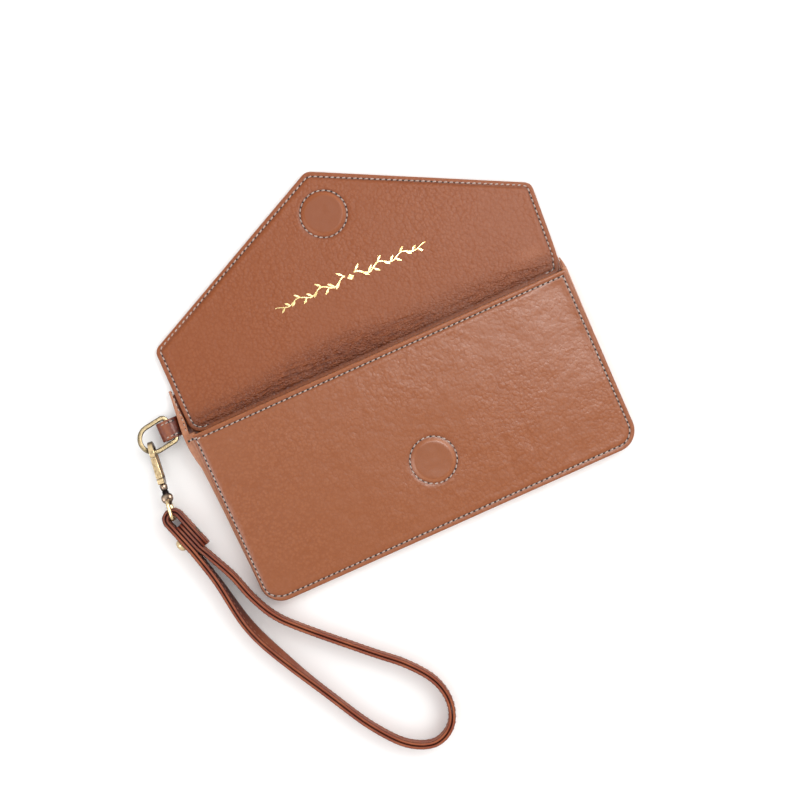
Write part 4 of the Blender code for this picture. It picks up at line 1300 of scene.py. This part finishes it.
def build_swivel(place):
    """Dark stem and shoulders, and the pale wire eye that the strap hangs on."""
    def lobed(points):
        """Flattened shoulders: two lobes with a hollow between them where the eye starts."""
        points = np.array(points, float)
        out = points[:, 2] / np.maximum(np.hypot(points[:, 1] - HOOK_AXIS, points[:, 2]), 0.01)
        wide = ease((points[:, 0] - 22.0) / 1.0) * (1 - out ** 2)
        points[:, 1] = HOOK_AXIS + (points[:, 1] - HOOK_AXIS) * (1 - 0.34 * wide)
        return place(points)

    stem = [(18.8, 0.9, 1.0), (20.5, 1.3, 1.0), (20.9, 1.7, 1.0), (22.0, 1.7, 1.0),
            (22.4, 2.1, 0.9), (22.9, 2.7, 0.6), (23.7, 3.05, 0.2), (24.9, 3.1, 0.1),
            (25.9, 2.8, 0.3), (26.6, 2.2, 0.6), (27.3, 1.6, 0.6), (28.2, 1.2, 0.4)]
    piece = turned("swivel_stem", stem, lobed, DARK_BRASS, axis_y=HOOK_AXIS)
    assign(piece, "swivel", "antique_brass")
    low, high, half, corner = 26.0, 35.6, 6.1, 2.6
    path = []
    for cx, cy, start in ((high - corner, -half + corner, -90), (high - corner, half - corner, 0),
                          (low + corner, half - corner, 90), (low + corner, -half + corner, 180)):
        path += arc((cx, cy), corner, start, start + 90, 8)
    path = np.array(path)
    ahead = ahead_on_loop(path)
    angles = np.linspace(0, 2 * math.pi, 16, endpoint=False)
    rings = [[(px + ay * 0.95 * math.cos(t), HOOK_AXIS + py - ax * 0.95 * math.cos(t),
               0.95 * math.sin(t)) for t in angles] for (px, py), (ax, ay) in zip(path, ahead)]
    loop = loft_rings("swivel_loop", rings, place, PALE_BRASS, closed=True)
    assign(loop, "swivel", "antique_brass", "swivel_eye")


def build_metal():
    build_ring()
    build_swivel(build_hook())
    for name in ("gate_pin", "gate_spring"):
        slots = frame["nodes"][name].data.materials
        slots.clear()
        slots.append(STEEL)


# ---------------------------------------------------------------- strap

STRAP_STACK = 3.75
STRAP_HEADING = math.radians(18.3)
STRAP_PLY = 1.5
STRAP_WIDTH = 9.6
STRAP_CORE = 0.2
STRAP_DROP = 2.2
STRAP_FALL = 70.0
TWIST = math.radians(16)
TWIST_FROM = 62.0
TWIST_TO = 152.0


def strap_line():
    """Centre line of the folded strap, relative to the eye bar."""
    along = np.array((math.sin(STRAP_HEADING), -math.cos(STRAP_HEADING)))
    left = np.array((along[1], -along[0]))
    line = [along * d - left * STRAP_STACK for d in (20.8, 15.0, 8.0, 3.0)]
    first = math.degrees(math.atan2(-left[1], -left[0]))
    line += arc((0, 0), STRAP_STACK, first, first + 180, 16)
    straight = [along * d + left * STRAP_STACK for d in (6.0, 12.0, 18.0)]
    line += straight
    loop = [straight[-2], straight[-1], (7.1, -38.0), (12.7, -66.4), (23.9, -92.3), (37.3, -117.6),
            (49.0, -138.0), (61.7, -153.2), (75.0, -159.0), (85.9, -154.3), (90.5, -143.0),
            (88.0, -129.8), (78.2, -116.4), (63.1, -102.4), (36.4, -77.0), (26.3, -65.4),
            (20.0, -52.6), (15.4, -38.4), (9.1, -24.6), along * 19.5]
    run = curve_through([np.array(p, float) for p in loop], 9)
    line += list(run[10:])
    line += [along * d for d in (14.0, 8.0, 4.4)]
    return np.array(line)


def strap_sag(y):
    return -STRAP_DROP * ease(-y / STRAP_FALL)


class StrapLine:
    """The strap's centre line in the row's frame, with distance along it and its twist."""

    def __init__(self):
        eye = joint_point("strap_pivot")
        line = strap_line()
        ahead = unit(np.gradient(line, axis=0))
        steps = np.linalg.norm(np.diff(line, axis=0), axis=1)
        self.s = np.concatenate([[0], np.cumsum(steps)])
        share = np.clip((self.s - TWIST_FROM) / (TWIST_TO - TWIST_FROM), 0, 1)
        bump = np.sin(np.pi * share) ** 2
        lean = TWIST * bump
        z = eye.z + strap_sag(line[:, 1]) + 0.3 * bump
        self.centre = np.column_stack([line + np.array((eye.x, eye.y)), z])
        flat = np.column_stack([ahead[:, 1], -ahead[:, 0], 0 * z])
        upright = np.array((0.0, 0.0, 1.0))
        self.side = flat * np.cos(lean)[:, None] - upright * np.sin(lean)[:, None]
        self.up = upright * np.cos(lean)[:, None] + flat * np.sin(lean)[:, None]

    def at(self, values, where):
        return np.stack([np.interp(where, self.s, values[:, k]) for k in range(3)], 1)

    def place(self, points):
        """(distance along, height, outwards) to the row's frame."""
        points = np.asarray(points, float)
        where = points[:, 0]
        return (self.at(self.centre, where) + self.at(self.up, where) * points[:, 1:2]
                + self.at(self.side, where) * points[:, 2:3])


def build_strap():
    line = StrapLine()
    section = rounded_bar(STRAP_PLY, STRAP_WIDTH, 0.52, 5)
    cut = np.abs(section[:, 1]) > STRAP_WIDTH / 2 - 0.5
    depth = np.abs(section[:, 0])
    # Dark rims of the cut edges, part burnished edge and part painted shade between the plies,
    # wider where the strap is stacked by the eye; painted shade on the inner face along part of the
    # loop.
    open_rim_burnish_shade = cut * 0.85 * ease((depth - 0.3) / 0.35)
    packed_rim_burnish_shade = cut * 0.9 * ease((depth - 0.14) / 0.3)
    packed = (1 - ease((line.s - 30) / 12) + ease((line.s - line.s[-1] + 30) / 12))[:, None]
    inner_face_shade_reach = ((1 - ease((line.s - 75) / 55)) * ease((line.s - 36) / 8))[:, None]
    inside = (section[:, 0] < 0.1 - STRAP_PLY / 2) * (1 - cut) * 0.9
    for name, node, offset in (("strap_outer_ply", "strap_outer", STRAP_CORE + STRAP_PLY / 2),
                               ("strap_inner_ply", "strap_inner", -STRAP_CORE - STRAP_PLY / 2)):
        piece = sweep(name, line.centre + line.side * offset, line.side, line.up, section,
                      STRAP_EDGE, tones=np.maximum(open_rim_burnish_shade * (1 - packed) + packed_rim_burnish_shade * packed,
                                                   inside * inner_face_shade_reach))
        assign(piece, "strap", "tan_leather", node)
    face = STRAP_CORE + STRAP_PLY
    start, end = line.s[0] + 3.0, line.s[-1] - 3.0
    count = int((end - start) / PITCH)
    alongs = np.tile(np.array((1.0, 0.0)), (count, 1))
    for name, row, outwards in (("out_low", -3.1, 1.0), ("out_high", 3.1, 1.0),
                                ("in_low", -3.1, -1.0), ("in_high", 3.1, -1.0)):
        spots = np.column_stack([np.linspace(start, end, count), np.full(count, row)])
        heights = np.full(count, outwards * (face - 0.12))
        stitches = stitch_row("strap_stitches_" + name, spots, alongs, heights, line.place,
                              up=outwards, size=0.9, hole=0.4, fibre=STRAP_THREAD)
        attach(stitches, "strap")
    build_rivet()


RIVET_AT = 12.6


def build_rivet():
    """Domed rivet head on the left of the fold, flat cap on the right."""
    eye = joint_point("strap_pivot")
    along = Vector((math.sin(STRAP_HEADING), -math.cos(STRAP_HEADING), 0))
    left = Vector((along.y, -along.x, 0))
    spot = along * RIVET_AT
    origin = Vector((eye.x + spot.x, eye.y + spot.y, eye.z + float(strap_sag(np.array(spot.y)))))
    place = placed(origin, left, Vector((0, 0, 1)), left.cross(Vector((0, 0, 1))))
    face = STRAP_STACK + STRAP_CORE + STRAP_PLY + 0.02
    dome = [(0, 1.0, 1.0), (face, 1.0, 1.0), (face, 3.0, 0.6), (face + 0.5, 3.25, 0.15),
            (face + 1.3, 3.1, 0.0), (face + 2.1, 2.55, 0.0), (face + 2.7, 1.7, 0.0),
            (face + 3.0, 0.8, 0.0), (face + 3.05, 0.05, 0.0)]
    head = turned("rivet_dome", dome, place, PALE_BRASS)
    assign(head, "strap", "antique_brass", "rivet_head")
    flat = [(-face - 0.4, 0.05, 0.2), (-face - 0.4, 1.6, 0.2), (-face - 0.3, 2.1, 0.5),
            (-face, 2.25, 0.9), (-face + 0.4, 1.0, 1.0)]
    cap = turned("rivet_flat_cap", flat, place, BRASS)
    assign(cap, "strap", "antique_brass", "rivet_cap")


# ---------------------------------------------------------------- stage

def build_stage():
    floor_mesh = bpy.data.meshes.new("floor")
    half = 2.5
    floor_mesh.from_pydata([(-half, -half, -0.0002), (half, -half, -0.0002),
                            (half, half, -0.0002), (-half, half, -0.0002)], [], [(0, 1, 2, 3)])
    floor = bpy.data.objects.new("floor", floor_mesh)
    bpy.context.scene.collection.objects.link(floor)
    n = Nodes("paper_floor")
    speck = n.noise(n.add("ShaderNodeTexCoord").outputs["Object"], 3.0, 2.0)
    floor_mesh.materials.append(n.set(Base_Color=n.mix(speck, (0.86, 0.855, 0.85, 1),
                                                       (0.9, 0.897, 0.893, 1)), Roughness=0.9,
                                      Specular_IOR_Level=0.1))

    world = bpy.data.worlds.new("studio")
    bpy.context.scene.world = world
    world.use_nodes = True
    tree = world.node_tree
    background = tree.nodes["Background"]
    coords = tree.nodes.new("ShaderNodeTexCoord")
    split = tree.nodes.new("ShaderNodeSeparateXYZ")
    tree.links.new(coords.outputs["Generated"], split.inputs[0])
    ramp = tree.nodes.new("ShaderNodeValToRGB")
    stops = ((0.0, (0.80, 0.80, 0.82, 1)), (0.55, (1.0, 0.995, 0.99, 1)),
             (0.84, (1.0, 0.99, 0.98, 1)), (0.955, (0.34, 0.34, 0.34, 1)))
    while len(ramp.color_ramp.elements) < len(stops):
        ramp.color_ramp.elements.new(0.5)
    for element, (position, tint) in zip(ramp.color_ramp.elements, stops):
        element.position = position
        element.color = tint
    tree.links.new(split.outputs["Z"], ramp.inputs[0])
    tree.links.new(ramp.outputs[0], background.inputs[0])
    background.inputs[1].default_value = 1.6

    def lamp(name, place, target, size, power, tint, shine_only=False):
        data = bpy.data.lights.new(name, "AREA")
        data.shape = "RECTANGLE"
        data.size, data.size_y = size
        data.energy = power
        data.color = tint
        obj = bpy.data.objects.new(name, data)
        bpy.context.scene.collection.objects.link(obj)
        obj.visible_diffuse = not shine_only
        obj.location = place
        obj.rotation_mode = "QUATERNION"
        obj.rotation_quaternion = (Vector(target) - Vector(place)).to_track_quat("-Z", "Y")

    lamp("key", (0.9, 0.2, 0.9), (0.02, 0.02, 0), (0.8, 0.8), 5.0, (1.0, 0.985, 0.965))
    lamp("right_window", (0.36, 0.15, 1.0), (0.09, 0.02, 0), (0.2, 0.42), 15.0,
         (1.0, 0.985, 0.965), shine_only=True)
    lamp("left_window", (-0.75, -0.1, 0.8), (-0.02, 0.02, 0), (0.3, 0.6), 7.0,
         (0.97, 0.985, 1.0), shine_only=True)


def build_camera():
    """Straight above the wallet, turned a little, as the object is usually shown."""
    data = bpy.data.cameras.new("camera")
    height, span, turn = 1.0, 0.41, -24.1
    data.lens = data.sensor_width * (height - FLAP_TOP * MM) / span
    camera = bpy.data.objects.new("camera", data)
    bpy.context.scene.collection.objects.link(camera)
    centre_y = 0.0215
    camera.location = (0.0, centre_y, height)
    camera.rotation_euler = (0, 0, math.radians(turn))
    bpy.context.scene.camera = camera
    bpy.context.scene.view_settings.view_transform = "Standard"


build_front()
build_front_seams()
build_back()
build_slip_pocket()
build_back_seam()
build_flap()
build_flap_seams()
build_foil()
build_gusset()
build_ears()
build_ear_lips()
build_tab()
build_metal()
build_strap()
build_stage()
build_camera()
